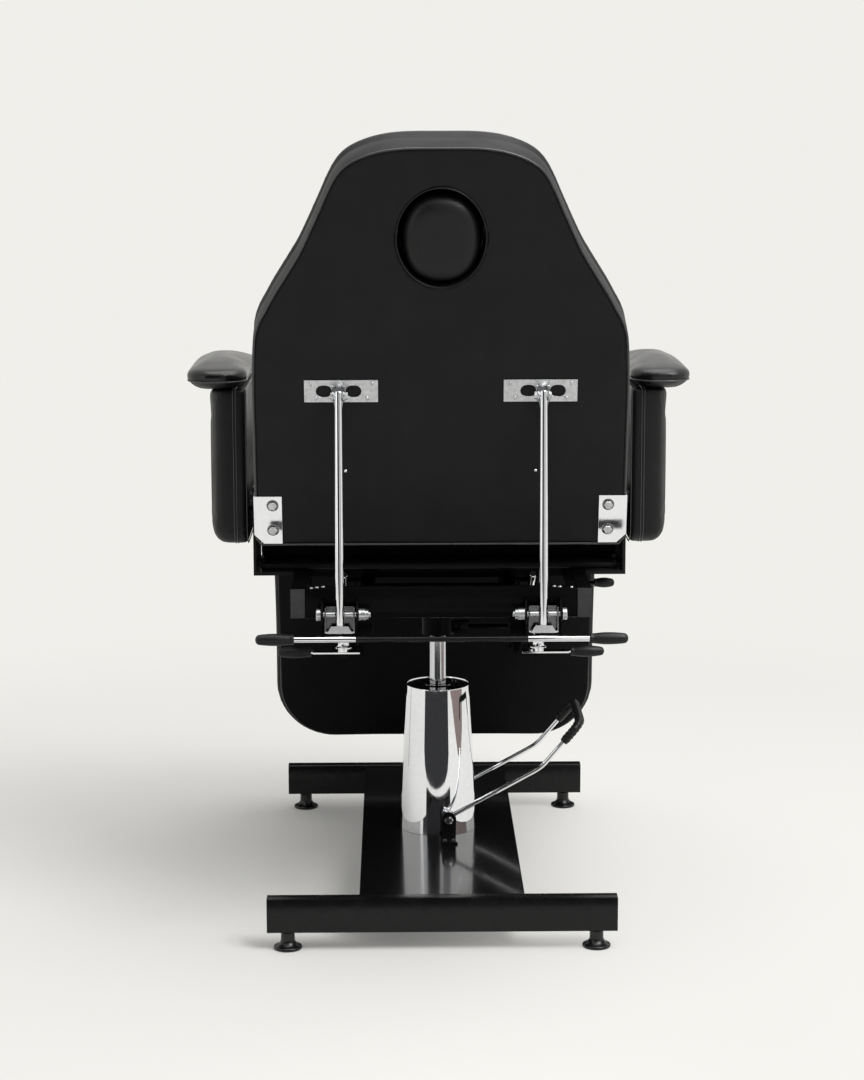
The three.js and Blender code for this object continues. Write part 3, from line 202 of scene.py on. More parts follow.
VINYL_BUMPS = (pitted(9, 0.25, 4), ("cells", 620, 0.22, 0.25 * MM), pitted(1500, 0.15, 0.1))
PAINT_BUMPS = (pitted(700, 0.10, 0.12), pitted(60, 0.1, 0.5))
LOOKS = {look: material(look, *base, **more) for look, base, more in (
    ("vinyl", ((0.006, 0.006, 0.0066), (0.36, 0.50)),
     dict(specular=0.28, bumps=VINYL_BUMPS, tint=0.2, patch=18)),
    ("rear_vinyl", ((0.0066, 0.0066, 0.0078), (0.46, 0.60)),
     dict(specular=0.2, bumps=VINYL_BUMPS, tint=0.15, patch=12)),
    ("leg_vinyl", ((0.004, 0.004, 0.0046), (0.44, 0.58)),
     dict(specular=0.1, bumps=VINYL_BUMPS, tint=0.15, patch=12)),
    ("arm_vinyl", ((0.0062, 0.0062, 0.007), (0.24, 0.36)),
     dict(specular=0.40, bumps=VINYL_BUMPS, tint=0.2, patch=18)),
    # The welts' grey is lighter than the black vinyl round them: a painted highlight along their rounded tops.
    ("piping", ((0.040, 0.040, 0.042), (0.26, 0.38)),
     dict(specular=0.6, bumps=(pitted(300, 0.3, 0.3),), patch=60)),
    ("paint", ((0.003, 0.003, 0.0033), (0.20, 0.30)),
     dict(specular=0.28, tint=0.25, bumps=PAINT_BUMPS, patch=40, edge_highlight=(0.02, 0.02, 0.021))),
    ("gloss", ((0.0025, 0.0025, 0.0027), (0.16, 0.24)),
     dict(specular=0.12, coat=0.8, coat_ior=1.8, coat_rough=0.09, tint=0.25, patch=40,
          bumps=(pitted(420, 0.10, 0.16), pitted(60, 0.1, 0.4)), edge_highlight=(0.02, 0.02, 0.021))),
    # A darker copy of the black paint for the frame parts, which sit in the shade under the seat: a painted shade.
    ("frame", ((0.0013, 0.0013, 0.0015), (0.18, 0.28)),
     dict(specular=0.05, tint=0.25, patch=40, bumps=PAINT_BUMPS, edge_highlight=(0.03, 0.03, 0.031))),
    ("chrome", ((0.84, 0.85, 0.87), (0.025, 0.055), 1.0),
     dict(tint=0.03, bumps=(pitted(1200, 0.02, 0.05),), patch=80)),
    ("rod", ((0.66, 0.67, 0.69), (0.08, 0.16), 1.0),
     dict(tint=0.05, stretch=(1, 1, 0.06), bumps=(pitted(900, 0.08, 0.06),), patch=120)),
    # A dark metal: on the strut clamps its dark base is a painted shade for chrome that mirrors dark surroundings,
    # and its paler edges are a painted highlight.
    ("steel", ((0.10, 0.10, 0.105), (0.10, 0.20), 1.0),
     dict(tint=0.15, bumps=(pitted(500, 0.10, 0.08), pitted(40, 0.08, 0.5)), patch=90,
          edge_highlight=(0.5, 0.5, 0.51))),
    ("zinc", ((0.58, 0.59, 0.60), (0.24, 0.40), 1.0),
     dict(tint=0.14, bumps=(("cells", 260, 0.10, 0.1 * MM), pitted(1100, 0.15, 0.1)), patch=90)),
    ("rubber", ((0.006, 0.006, 0.0064), (0.36, 0.5)),
     dict(specular=0.35, tint=0.2, bumps=(pitted(600, 0.25, 0.2),), patch=70)),
    ("plastic", ((0.0045, 0.0045, 0.0048), (0.22, 0.34)),
     dict(specular=0.45, tint=0.15, bumps=(pitted(900, 0.12, 0.1),), patch=60)),
    ("plug", ((0.036, 0.036, 0.038), (0.4, 0.55)),
     dict(specular=0.35, tint=0.15, bumps=(pitted(800, 0.2, 0.15),), patch=60)),
)}


# Building meshes


def new_object(name, verts, faces, materials):
    mesh = bpy.data.meshes.new(name)
    mesh.from_pydata([tuple(v) for v in verts], [], faces)
    for look in materials:
        mesh.materials.append(look)
    made = bpy.data.objects.new(name, mesh)
    scene.collection.objects.link(made)
    return made


def object_from(name, verts, faces, looks, indexes=None):
    """A closed form in these looks, its faces turned outwards."""
    made = new_object(name, verts, faces, [LOOKS[look] for look in looks])
    if indexes:
        made.data.polygons.foreach_set("material_index", indexes)
    tidy = bmesh.new()
    tidy.from_mesh(made.data)
    bmesh.ops.recalc_face_normals(tidy, faces=tidy.faces)
    tidy.to_mesh(made.data)
    tidy.free()
    return made


def shade_smooth(made):
    made.data.polygons.foreach_set("use_smooth", [True] * len(made.data.polygons))


def smooth(made, angle):
    shade_smooth(made)
    made.data.set_sharp_from_angle(angle=math.radians(angle))


def ease_edges(made, width, angle):
    edges = made.modifiers.new("edges", "BEVEL")
    edges.width, edges.segments, edges.harden_normals = width, 2, True
    edges.limit_method, edges.angle_limit = "ANGLE", math.radians(angle)


def whole_turn(steps):
    return [2 * math.pi * k / steps for k in range(steps)]


def band(a, b, count, turn=0):
    """The quads between two rows of points that start at a and b, the second row shifted by turn."""
    return [(a + k, a + (k + 1) % count, b + (k + 1 - turn) % count, b + (k - turn) % count) for k in range(count)]


def caps(rows, count):
    """The flat faces that close the first and the last row."""
    return [list(range(count)), [(rows - 1) * count + k for k in range(count)]]


def settle(made, body, replaced=()):
    """Puts a finished piece on its body and hides the CAD parts it replaces."""
    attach(made, body)
    if replaced:
        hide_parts(*replaced)
    return made


class Shape:
    """Gathers simple closed forms, set in one place, into one mesh."""

    def __init__(self, place=NO_TURN):
        self.place, self.verts, self.faces, self.indexes, self.index = place, [], [], [], 0

    def put(self, verts, faces, matrix=NO_TURN):
        start, matrix = len(self.verts), self.place @ matrix
        self.verts += [matrix @ Vector(v) for v in verts]
        self.faces += [[start + i for i in face] for face in faces]
        self.indexes += [self.index] * len(faces)
        return self

    def box(self, low, high, matrix=NO_TURN):
        corners = [(x, y, z) for x in (low[0], high[0]) for y in (low[1], high[1]) for z in (low[2], high[2])]
        faces = [(0, 1, 3, 2), (4, 6, 7, 5), (0, 4, 5, 1), (2, 3, 7, 6), (0, 2, 6, 4), (1, 5, 7, 3)]
        return self.put(corners, faces, matrix)

    def slab(self, outline, x0, x1, matrix=NO_TURN):
        """A flat outline in a plane across X, from x0 to x1."""
        count = len(outline)
        verts = [(x, a, b) for x in (x0, x1) for a, b in outline]
        return self.put(verts, caps(2, count) + band(0, count, count), matrix)

    def lathe(self, profile, matrix=NO_TURN, steps=32, ring=False):
        """Turns (radius, height) points about Z; the ends get flat caps, or meet each other in a ring."""
        count = len(profile)
        verts = [(r * math.cos(a), r * math.sin(a), height) for r, height in profile for a in whole_turn(steps)]
        faces = [] if ring else caps(count, steps)
        for i in range(count if ring else count - 1):
            faces += band(i * steps, (i + 1) % count * steps, steps)
        return self.put(verts, faces, matrix)

    def tube(self, points, radius, steps=10, closed=False):
        points = [Vector(p) for p in points]
        count = len(points)
        verts, across, turn = [], None, 0
        for i, point in enumerate(points):
            if closed:
                along = (points[(i + 1) % count] - points[i - 1]).normalized()
            else:
                along = (points[min(i + 1, count - 1)] - points[max(i - 1, 0)]).normalized()
            if across is None:
                across = along.orthogonal()
            across = (across - along * across.dot(along)).normalized()
            other = along.cross(across)
            r = radius(i) if callable(radius) else radius
            verts += [point + across * r * math.cos(a) + other * r * math.sin(a) for a in whole_turn(steps)]
        if closed:
            first = (verts[0] - points[0]).normalized()
            gaps = [(v - points[-1]).normalized().dot(first) for v in verts[-steps:]]
            turn = gaps.index(max(gaps))
        faces = [] if closed else caps(count, steps)
        for i in range(count if closed else count - 1):
            faces += band(i * steps, (i + 1) % count * steps, steps, turn if i == count - 1 else 0)
        return self.put(verts, faces)

    def screw(self, where, r=3.2 * MM, head=1.8 * MM, slot_turn=0.3):
        """A pan-head screw with a cross recess, its head along +Z."""
        self.lathe([(r, -0.2 * MM), (r, head * 0.35), (r * 0.86, head * 0.75), (r * 0.5, head)], at(*where), 20)
        for turn in (slot_turn, slot_turn + QUARTER):
            self.box((-r * 0.55, -0.28 * MM, head * 0.9), (r * 0.55, 0.28 * MM, head * 1.06),
                     at(*where) @ Matrix.Rotation(turn, 4, "Z"))

    def make(self, name, looks, body, replaced=(), bevel=0.0, angle=40):
        looks = [looks] if isinstance(looks, str) else looks
        made = object_from(name, self.verts, self.faces, looks, self.indexes)
        smooth(made, angle)
        if bevel:
            ease_edges(made, bevel, angle)
        return settle(made, body, replaced)


def arc(cx, cy, r, start, end, steps):
    return [(cx + r * math.cos(mix(start, end, i / steps)), cy + r * math.sin(mix(start, end, i / steps)))
            for i in range(steps + 1)]


def rounded(x0, x1, y0, y1, low_r, high_r, bow=0.0, spacing=12 * MM, steps=8):
    """A rounded rectangle's outline, counter-clockwise, its straight sides drawn in by bow."""
    corners = [arc(x0 + low_r, y0 + low_r, low_r, 2 * QUARTER, 3 * QUARTER, steps),
               arc(x1 - low_r, y0 + low_r, low_r, 3 * QUARTER, 4 * QUARTER, steps),
               arc(x1 - high_r, y1 - high_r, high_r, 0, QUARTER, steps),
               arc(x0 + high_r, y1 - high_r, high_r, QUARTER, 2 * QUARTER, steps)]
    inward = [(0, 1), (-1, 0), (0, -1), (1, 0)]
    points = []
    for k, turn in enumerate(corners):
        points += turn
        a, b = Vector(turn[-1]), Vector(corners[(k + 1) % 4][0])
        between = max(1, int((b - a).length / spacing))
        for i in range(1, between):
            t = i / between
            pull = bow * math.sin(math.pi * t)
            points.append(tuple(a.lerp(b, t) + Vector(inward[k]) * pull))
    return points


def spline(points, steps):
    """Uniform Catmull-Rom through the points, as the CAD outline has it."""
    padded = [Vector(p) for p in (points[0], *points, points[-1])]
    made = []
    for p0, p1, p2, p3 in zip(padded, padded[1:], padded[2:], padded[3:]):
        v0, v1 = (p2 - p0) / 2, (p3 - p1) / 2
        made += [(2 * p1 - 2 * p2 + v0 + v1) * t ** 3 + (-3 * p1 + 3 * p2 - 2 * v0 - v1) * t ** 2 + v0 * t + p1
                 for t in (k / steps for k in range(steps))]
    return [*made, padded[-1]]


def normals_of(outline):
    made = []
    for i in range(len(outline)):
        ahead, behind = Vector(outline[(i + 1) % len(outline)]), Vector(outline[i - 1])
        along = (ahead - behind).normalized()
        made.append(Vector((along.y, -along.x)))
    return made


def ring(outline, inset, height):
    return [(p[0] - n.x * inset, p[1] - n.y * inset, height) for p, n in zip(outline, normals_of(outline))]


def boxed(depth, low_r, high_r, draw, steps=5):
    """(inset, height) rings of a boxed side, from the underside's edge to the top's."""
    rings = arc(low_r, low_r, low_r, -QUARTER, -math.pi, steps)
    rings += [(draw * math.sin(math.pi * t), mix(low_r, depth - high_r, t)) for t in (i / 7 for i in range(1, 7))]
    return rings + arc(high_r, depth - high_r, high_r, math.pi, QUARTER, steps)


def loft(outline, rings, crown=0.0, levels=(0.9, 0.75, 0.55, 0.35, 0.15)):
    """A closed form: rings of the outline, with a top that rises by crown towards the middle."""
    count = len(outline)
    centre = sum((Vector(p[:2]) for p in outline), Vector((0, 0))) / count
    low, high = rings[0][1], rings[-1][1]
    rows = [ring(outline, inset, height) for inset, height in rings]

    def inner(row, share, height):
        return [(centre.x + (x - centre.x) * share, centre.y + (y - centre.y) * share, height) for x, y, _ in row]

    bottom = [inner(rows[0], share, low) for share in reversed(levels)]
    top = [inner(rows[-1], share, high + crown * (1 - share ** 2)) for share in levels]
    rows = bottom + rows + top
    verts = [(*centre, low), *(p for row in rows for p in row), (*centre, high + crown)]
    last = len(verts) - 1
    end = last - count
    faces = [(0, 1 + (k + 1) % count, 1 + k) for k in range(count)]
    faces += [(end + k, end + (k + 1) % count, last) for k in range(count)]
    for i in range(len(rows) - 1):
        faces += band(1 + i * count, 1 + (i + 1) * count, count)
    return verts, faces


# Padding


def apply_modifiers(made):
    depsgraph = bpy.context.evaluated_depsgraph_get()
    mesh = bpy.data.meshes.new_from_object(made.evaluated_get(depsgraph))
    made.modifiers.clear()
    old, made.data = made.data, mesh
    bpy.data.meshes.remove(old)


def remeshed(made, voxel, soften):
    change = made.modifiers.new("voxels", "REMESH")
    change.mode, change.voxel_size, change.use_smooth_shade = "VOXEL", voxel, True
    ease = made.modifiers.new("soften", "SMOOTH")
    ease.factor, ease.iterations = 0.5, soften
    apply_modifiers(made)


COVER = dict(quality=4, mass=0.3, tension_stiffness=18, compression_stiffness=18, shear_stiffness=6,
             bending_stiffness=1.2, use_pressure=True, uniform_pressure_force=4.0, vertex_group_mass="held",
             pin_stiffness=1)


def puffed(made, seams, rest_height, most, frames=20, near=6 * MM, far=40 * MM):
    """Blows the cover up between its seams with cloth pressure; no point moves more than most."""
    start = [v.co.copy() for v in made.data.vertices]
    tree = kdtree.KDTree(len(seams))
    for i, p in enumerate(seams):
        tree.insert(p, i)
    tree.balance()
    group = made.vertex_groups.new(name="held")
    freedom = []
    for v in made.data.vertices:
        gap = tree.find(v.co)[2]
        free = min(1.0, max(0.0, (gap - near) / (far - near)))
        if rest_height is not None and v.co.z < rest_height:
            free = 0.0
        freedom.append(free)
        group.add([v.index], 1.0 - free * 0.999, "REPLACE")
    cloth = made.modifiers.new("cloth", "CLOTH")
    for key, value in COVER.items():
        setattr(cloth.settings, key, value)
    cloth.settings.effector_weights.gravity = 0
    cloth.collision_settings.use_collision = False
    cloth.point_cache.frame_start, cloth.point_cache.frame_end = 1, frames
    for f in range(1, frames + 1):
        scene.frame_set(f)
    depsgraph = bpy.context.evaluated_depsgraph_get()
    blown = made.evaluated_get(depsgraph).to_mesh()
    moved = [v.co.copy() for v in blown.vertices]
    made.evaluated_get(depsgraph).to_mesh_clear()
    made.modifiers.clear()
    made.vertex_groups.clear()
    scene.frame_set(1)
    for v, a, b, free in zip(made.data.vertices, start, moved, freedom):
        step = (b - a) * min(1.0, free * 1.4)
        if step.length > most:
            step *= most / step.length
        v.co = a + step


def cushion(name, form, place, body, replaced, look="vinyl", voxel=5.5 * MM, seams=(), rest_height=None,
            most=7 * MM, cutter=None, after=None, clamp=None, soften=3):
    verts, faces = form
    if clamp:
        verts = [clamp(v) for v in verts]
    made = object_from(name, verts, faces, [look])
    if cutter:
        hole = object_from(name + "_cutter", *cutter, [look])
        cut = made.modifiers.new("hole", "BOOLEAN")
        cut.object, cut.operation, cut.solver = hole, "DIFFERENCE", "EXACT"
        apply_modifiers(made)
        bpy.data.objects.remove(hole)
    remeshed(made, voxel, soften)
    puffed(made, [Vector(p) for p in seams], rest_height, most)
    if after:
        for v in made.data.vertices:
            v.co = after(v.co)
    made.data.transform(place)
    if place.determinant() < 0:
        made.data.flip_normals()
    made.data.materials.clear()
    made.data.materials.append(LOOKS[look])
    shade_smooth(made)
    finer = made.modifiers.new("finer", "SUBSURF")
    finer.levels = finer.render_levels = 1
    return settle(made, body, replaced)


def piping(name, loops, place, body, radius, look="piping"):
    shape = Shape(place)
    for loop in loops:
        shape.tube(loop, radius, steps=8, closed=True)
    return shape.make(name, look, body, angle=80)


def seam(outline, depth, r, end, out=1.2 * MM):
    """The line of a welt that sits on the rounded edge at one end of a boxed side."""
    inset = r - (r + out) * math.sqrt(0.5)
    return ring(outline, inset, inset if end == "low" else depth - inset)


# Back

BACK_HALF = (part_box("back_cushion")[1].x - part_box("back_cushion")[0].x) / 2
BACK_BELOW, BACK_ABOVE, BACK_DEPTH = mm(45, 631, 105)
BACK_SHARES = [(1, 0.02), (1, 0.14), (0.999, 0.28), (0.998, 0.42), (0.986, 0.531), (0.962, 0.574),
               (0.924, 0.607), (0.874, 0.648), (0.803, 0.7), (0.741, 0.747), (0.686, 0.799), (0.633, 0.852),
               (0.584, 0.902), (0.533, 0.942), (0.462, 0.969), (0.345, 0.99), (0.205, 1)]
HOLE_UP, HOLE_X, HOLE_Z = mm(486, 71, 81)
MITRE = BACK_BELOW / BACK_DEPTH
BACK_PLACE = TO_BACK @ Matrix(((-1, 0, 0, 0), (0, 0, 1, -BACK_DEPTH), (0, 1, 0, 0), (0, 0, 0, 1)))


def back_outline():
    height = BACK_ABOVE + BACK_BELOW
    right = [(x * BACK_HALF, z * height - BACK_BELOW) for x, z in BACK_SHARES]
    left = [(-x, z) for x, z in reversed(right)]
    over = [(p.x, p.y) for p in spline([*right, (0, BACK_ABOVE + 0.8 * MM), *left], 6)]
    foot = [(mix(-1, 1, k / 44) * (BACK_HALF - 8 * MM), -BACK_BELOW) for k in range(45)]
    return over + foot


def oval(half_x, half_z, up, power=2.0, steps=72):
    def bulged(v):
        return math.copysign(abs(v) ** (2 / power), v)

    return [(bulged(math.cos(a)) * half_x, bulged(math.sin(a)) * half_z + up) for a in whole_turn(steps)]


def above_mitre(p, lift=0.0):
    """Keeps the foot of the back clear of the seat."""
    return (p[0], max(p[1], (p[2] - BACK_DEPTH) * MITRE + lift), p[2])


def above_all(points):
    return [above_mitre(p, 2 * MM) for p in points]


WRINKLES_FROM, WRINKLES_TO, WRINKLES_REACH, WRINKLE_DEEP = -1.35, -0.35, 22 * MM, 0.9 * MM


def rear_wrinkles(p):
    """Small gathers in the cover where it is pulled into the face hole, low on both sides."""
    if p.z > 3 * MM:
        return p
    x, y = p.x / HOLE_X, (p.y - HOLE_UP) / HOLE_Z
    away = (math.hypot(x, y) - 1) * HOLE_X
    angle = math.atan2(y, abs(x))
    if 0 < away < WRINKLES_REACH and WRINKLES_FROM < angle < WRINKLES_TO:
        window = math.sin(math.pi * (angle - WRINKLES_FROM)) * (1 - away / WRINKLES_REACH)
        p = p.copy()
        p.z -= WRINKLE_DEEP * window * math.sin(angle * 34 + 9 * x)
    return p


BACK_SIDE = [(-1.4, 16), (-2.4, 30), (-2.6, 44), (-1.8, 57), (-0.2, 67), (1.8, 72.5), (-1.0, 77), (-3.4, 83)]


def build_back():
    outline = back_outline()
    rings = arc(4, 4, 4, -QUARTER, -math.pi, 5) + BACK_SIDE + arc(11, 90, 15, math.pi, QUARTER, 5)
    form = loft(outline, in_mm(*rings), crown=3 * MM)
    front = above_all(ring(outline, 1.4 * MM, 72.5 * MM))
    low = above_all(seam(outline, BACK_DEPTH, 4 * MM, "low"))
    high = above_all(ring(outline, -0.4 * MM, 100.6 * MM))
    rim = oval(HOLE_X, HOLE_Z, HOLE_UP)
    rims = [(x, y, h) for h in (0, BACK_DEPTH) for x, y in rim]
    tube = loft(rim, [(0, -40 * MM), (0, BACK_DEPTH + 60 * MM)], levels=(0.5,))
    cushion("back_upholstery", form, BACK_PLACE, "back", ("back_cushion", "back_board"), look="rear_vinyl",
            voxel=5 * MM, seams=low + front + high + rims, rest_height=8 * MM, most=6 * MM, cutter=tube,
            clamp=above_mitre, after=rear_wrinkles, soften=2)
    piping("back_piping", [low, high], BACK_PLACE, "back", radius=1.7 * MM)
    piping("back_front_seam", [front], BACK_PLACE, "back", radius=0.9 * MM, look="vinyl")
    lip = oval(HOLE_X + 1 * MM, HOLE_Z + 1 * MM, HOLE_UP)
    piping("face_hole_piping", [[(x, y, h) for x, y in lip] for h in (-0.5 * MM, BACK_DEPTH + 1.8 * MM)],
           BACK_PLACE, "back", radius=1.3 * MM, look="vinyl")


PLUG_REAR = [(34, -5.2), (27, -4.6), (20, -3.4), (14, -1.4), (9, 1.4), (5, 5), (2, 9.5), (0, 16), (0, 52)]
PLUG_FRONT = [(6, 54.5), (1.5, 56), (0, 60), (0, 90), (1.2, 96), (4.5, 100), (9, 102.5), (20, 104.5), (40, 106.5),
              (58, 107.4)]


def build_face_plug():
    boss = oval(62.5 * MM, 72 * MM, HOLE_UP - 4 * MM, power=2.3)
    face = oval(HOLE_X - 1.2 * MM, HOLE_Z - 1.2 * MM, HOLE_UP)
    rows = [ring(boss, a, h) for a, h in in_mm(*PLUG_REAR)] + [ring(face, a, h) for a, h in in_mm(*PLUG_FRONT)]
    verts, count = [p for row in rows for p in row], len(boss)
    faces = caps(len(rows), count)
    for i in range(len(rows) - 1):
        faces += band(i * count, (i + 1) * count, count)
    seams = ring(boss, 6 * MM, 5 * MM) + ring(face, 2 * MM, 98 * MM) + ring(face, 0, 75 * MM)
    cushion("face_plug_upholstery", (verts, faces), BACK_PLACE, "plug", ("face_plug",), voxel=3.5 * MM,
            seams=seams, most=2.5 * MM, soften=2)
    piping("face_plug_piping", [ring(face, 2.2 * MM, 98.6 * MM)], BACK_PLACE, "plug", radius=1.4 * MM)


build_back()
build_face_plug()


# Seat

SEAT_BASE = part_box("seat_cushion")[0].z
BOARD_LOW, BOARD_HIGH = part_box("seat_board")
SEAT_REAR, SEAT_FRONT = BOARD_LOW.y, BOARD_HIGH.y
SEAT_HALF = BOARD_HIGH.x
SEAT_NOTCH = BACK_HALF - 2.2 * MM


def notched(p, past):
    """Draws the seat's rear corners in, clear of the brackets on the back."""
    cut = abs(p[0]) > SEAT_NOTCH and p[1] < SEAT_REAR + BACK_BELOW + past
    return (math.copysign(SEAT_NOTCH, p[0]) if cut else p[0], *p[1:])


def build_seat():
    depth = BACK_PIVOT.z - SEAT_BASE - 2 * MM
    outline = rounded(-SEAT_HALF + 1 * MM, SEAT_HALF - 1 * MM, SEAT_REAR + 3 * MM, SEAT_FRONT - 1 * MM,
                      *mm(14, 18, 2))

    def shaped(p):
        x, y, h = notched(p, 6 * MM)
        return (x, max(y, SEAT_REAR + 6 * MM + MITRE * (depth - h)), h)

    form = loft(outline, boxed(depth, *mm(5, 14, 2)), crown=3 * MM)
    low = [shaped(p) for p in seam(outline, depth, 5 * MM, "low")]
    high = [shaped(p) for p in seam(outline, depth, 14 * MM, "high")]
    place = at(0, 0, SEAT_BASE)
    cushion("seat_upholstery", form, place, "seat_frame", ("seat_cushion",), seams=low + high,
            rest_height=4 * MM, most=9 * MM, clamp=shaped)
    piping("seat_piping", [low, high], place, "seat_frame", radius=1.8 * MM)
    thick = BOARD_HIGH.z - BOARD_LOW.z
    edge = rounded(-SEAT_HALF, SEAT_HALF, SEAT_REAR, SEAT_FRONT, 8 * MM, 16 * MM)
    verts, faces = loft(edge, boxed(thick, *mm(2.5, 2.5, 0), steps=3), levels=(0.5,))
    made = object_from("seat_board_cover", [notched(v, 4 * MM) for v in verts], faces, ["rear_vinyl"])
    made.data.transform(at(0, 0, BOARD_LOW.z))
    smooth(made, 50)
    settle(made, "seat_frame", ("seat_board",))


build_seat()


# Leg rest

LEG_HALF, LEG_NEAR, LEG_FAR = mm(310, 6, 448)
LEG_UNDER, LEG_BOARD, LEG_DEPTH = mm(8, 12, 100)
LEG_HINGE_X, LEG_HINGE_HALF, LEG_HINGE_R = mm(192, 14.5, 8.5)
LEG_STRUT_X, LEG_STRUT_UP, LEG_STRUT_OFF, LEG_LUG_THICK = mm(165, 250, 18, 2.5)


def half_disc(cu, cw, r, steps=10):
    """A lug's outline in the leg rest's (u, w) plane: a round nose below the board."""
    points = arc(cu, cw, r, math.pi, 2 * math.pi, steps)
    return [(cu - r, LEG_UNDER), *points, (cu + r, LEG_UNDER)]


def narrowed(p):
    """The leg rest is a little narrower towards its far end."""
    return (p[0] * (1.008 - 0.012 * (p[1] - LEG_NEAR) / (LEG_FAR - LEG_NEAR)), *p[1:])


def build_leg_rest():
    outline = [narrowed(p) for p in rounded(-LEG_HALF, LEG_HALF, LEG_NEAR, LEG_FAR, *mm(12, 112, 2), steps=14)]
    base = LEG_UNDER + LEG_BOARD
    depth = LEG_DEPTH - LEG_BOARD - 1 * MM
    place = TO_LEG @ at(0, 0, base)
    form = loft(outline, boxed(depth, *mm(11, 14, 2)), crown=3 * MM)
    high = seam(outline, depth, 14 * MM, "high")
    low = ring(outline, 9.4 * MM, 0.3 * MM)
    cushion("leg_upholstery", form, place, "leg_rest", ("leg_cushion",), seams=low + high,
            rest_height=3 * MM, most=9 * MM)
    piping("leg_piping", [low, high], place, "leg_rest", radius=1.9 * MM)
    inner = LEG_HALF - 10 * MM
    edge = [narrowed(p) for p in rounded(-inner, inner, LEG_NEAR, LEG_FAR - 10 * MM, *mm(12, 104), steps=14)]
    verts, faces = loft(edge, boxed(LEG_BOARD - 0.5 * MM, *mm(3.5, 1, 0), steps=4), levels=(0.8, 0.4))
    made = object_from("leg_board_cover", verts, faces, ["leg_vinyl"])
    made.data.transform(TO_LEG @ at(0, 0, LEG_UNDER))
    smooth(made, 50)
    settle(made, "leg_rest", ("leg_board",))
    for name, side in SIDES:
        hinge, x = Shape(TO_LEG), side * LEG_HINGE_X
        hinge.tube([(x - LEG_HINGE_HALF, 0, 0), (x + LEG_HINGE_HALF, 0, 0)], LEG_HINGE_R, 32)
        hinge.box((x - LEG_HINGE_HALF, 0, 4 * MM), (x + LEG_HINGE_HALF, 60 * MM, LEG_UNDER))
        for u in mm(28, 50):
            hinge.lathe(in_mm((4, 0), (4, 1.4), (2.6, 2.6)), at(x, u, 4 * MM) @ UPSIDE_DOWN, 20)
        hinge.make(f"leg_hinge_{name}", "paint", "leg_rest", bevel=0.5 * MM)
        lug = Shape(TO_LEG @ at(side * LEG_STRUT_X, LEG_STRUT_UP, 0))
        for t in (-1, 1):
            lug.slab(half_disc(0, -LEG_STRUT_OFF, 9 * MM), t * 6.4 * MM, t * 9.4 * MM)
        low = LEG_UNDER - LEG_LUG_THICK
        lug.box((-26 * MM, -17 * MM, low), (26 * MM, 17 * MM, LEG_UNDER))
        lug.tube([(-13 * MM, 0, -LEG_STRUT_OFF), (13 * MM, 0, -LEG_STRUT_OFF)], 4 * MM, 20)
        for t in (-1, 1):
            lug.lathe(in_mm((3.2, 0), (3.2, 1.2), (1.8, 2.2)), at(t * 19 * MM, 0, low) @ UPSIDE_DOWN, 16)
        # The lugs get the darker copy of the black paint, a painted shade.
        lug.make(f"leg_lug_{name}", "frame", "leg_rest", bevel=0.4 * MM)


build_leg_rest()


# Armrests

PANEL_INNER, PANEL_OUTER, PANEL_REAR, PANEL_FRONT, PANEL_LOW, PANEL_TOP = mm(328, 392, -170, 130, 632, 903)
PAD_INNER, PAD_OUTER, PAD_REAR, PAD_FRONT = mm(326, 430, -192, 172)


def build_armrest(name, side):
    body = f"armrest_{name}"
    mirror = Matrix.Scale(-1, 4, (1, 0, 0)) if side < 0 else NO_TURN
    outline = rounded(PANEL_REAR + COLUMN.y, PANEL_FRONT + COLUMN.y, PANEL_LOW, PANEL_TOP + 24 * MM, *mm(40, 30),
                      steps=10)

    def under_pad(p):
        return (p[0], min(p[1], PANEL_TOP - 0.5 * MM), p[2])

    thick = PANEL_OUTER - PANEL_INNER
    to_x = mirror @ Matrix(((0, 0, 1, PANEL_INNER), (1, 0, 0, 0), (0, 1, 0, 0), (0, 0, 0, 1)))
    form = loft(outline, boxed(thick - 2 * MM, *mm(6, 26, 0)), crown=1 * MM)
    low = [under_pad(p) for p in seam(outline, thick, 6 * MM, "low")]
    lines = [[under_pad(p) for p in ring(outline, 0.2 * MM, h * MM)] for h in (18, 22.5)]
    cushion(f"arm_panel_{name}_upholstery", form, to_x, body, (f"arm_panel_{name}",), voxel=5 * MM,
            seams=low + lines[0] + lines[1], rest_height=4 * MM, most=1.8 * MM, clamp=under_pad)
    piping(f"arm_panel_{name}_seams", [low, *lines], to_x, body, radius=1.1 * MM)
    pad = rounded(PAD_INNER, PAD_OUTER, PAD_REAR + COLUMN.y, PAD_FRONT + COLUMN.y, *mm(46, 46), steps=14)
    rows = [(33, -0.5), (28, -1.2), (21, 0), (14, 3), (8.5, 7), (4, 11.5), (1.2, 16.5), (0, 22), (0.8, 26.5),
            (3.6, 30.5), (9, 34), (16, 36.5)]
    form = loft(pad, in_mm(*rows), crown=11 * MM)
    place = mirror @ at(0, 0, PANEL_TOP + 0.6 * MM)
    half = (PAD_FRONT - PAD_REAR) / 2
    centre = (PAD_FRONT + PAD_REAR) / 2 + COLUMN.y

    def domed(p):
        t = (p[1] - centre) / half
        drop = (0.26 if t > 0 else 0.10) * t * t
        return (p[0], p[1], p[2] - drop * max(0.0, p[2] - 8 * MM))

    rim = [domed(p) for p in ring(pad, 2.4 * MM, 13.5 * MM)]
    cushion(f"arm_pad_{name}_upholstery", form, place, body, (f"arm_pad_{name}",), voxel=4.5 * MM, seams=rim,
            rest_height=4 * MM, most=4 * MM, clamp=domed, look="arm_vinyl")
    piping(f"arm_pad_{name}_piping", [rim], place, body, radius=1.5 * MM)


for arm in SIDES:
    build_armrest(*arm)


# Pump, column and pedal

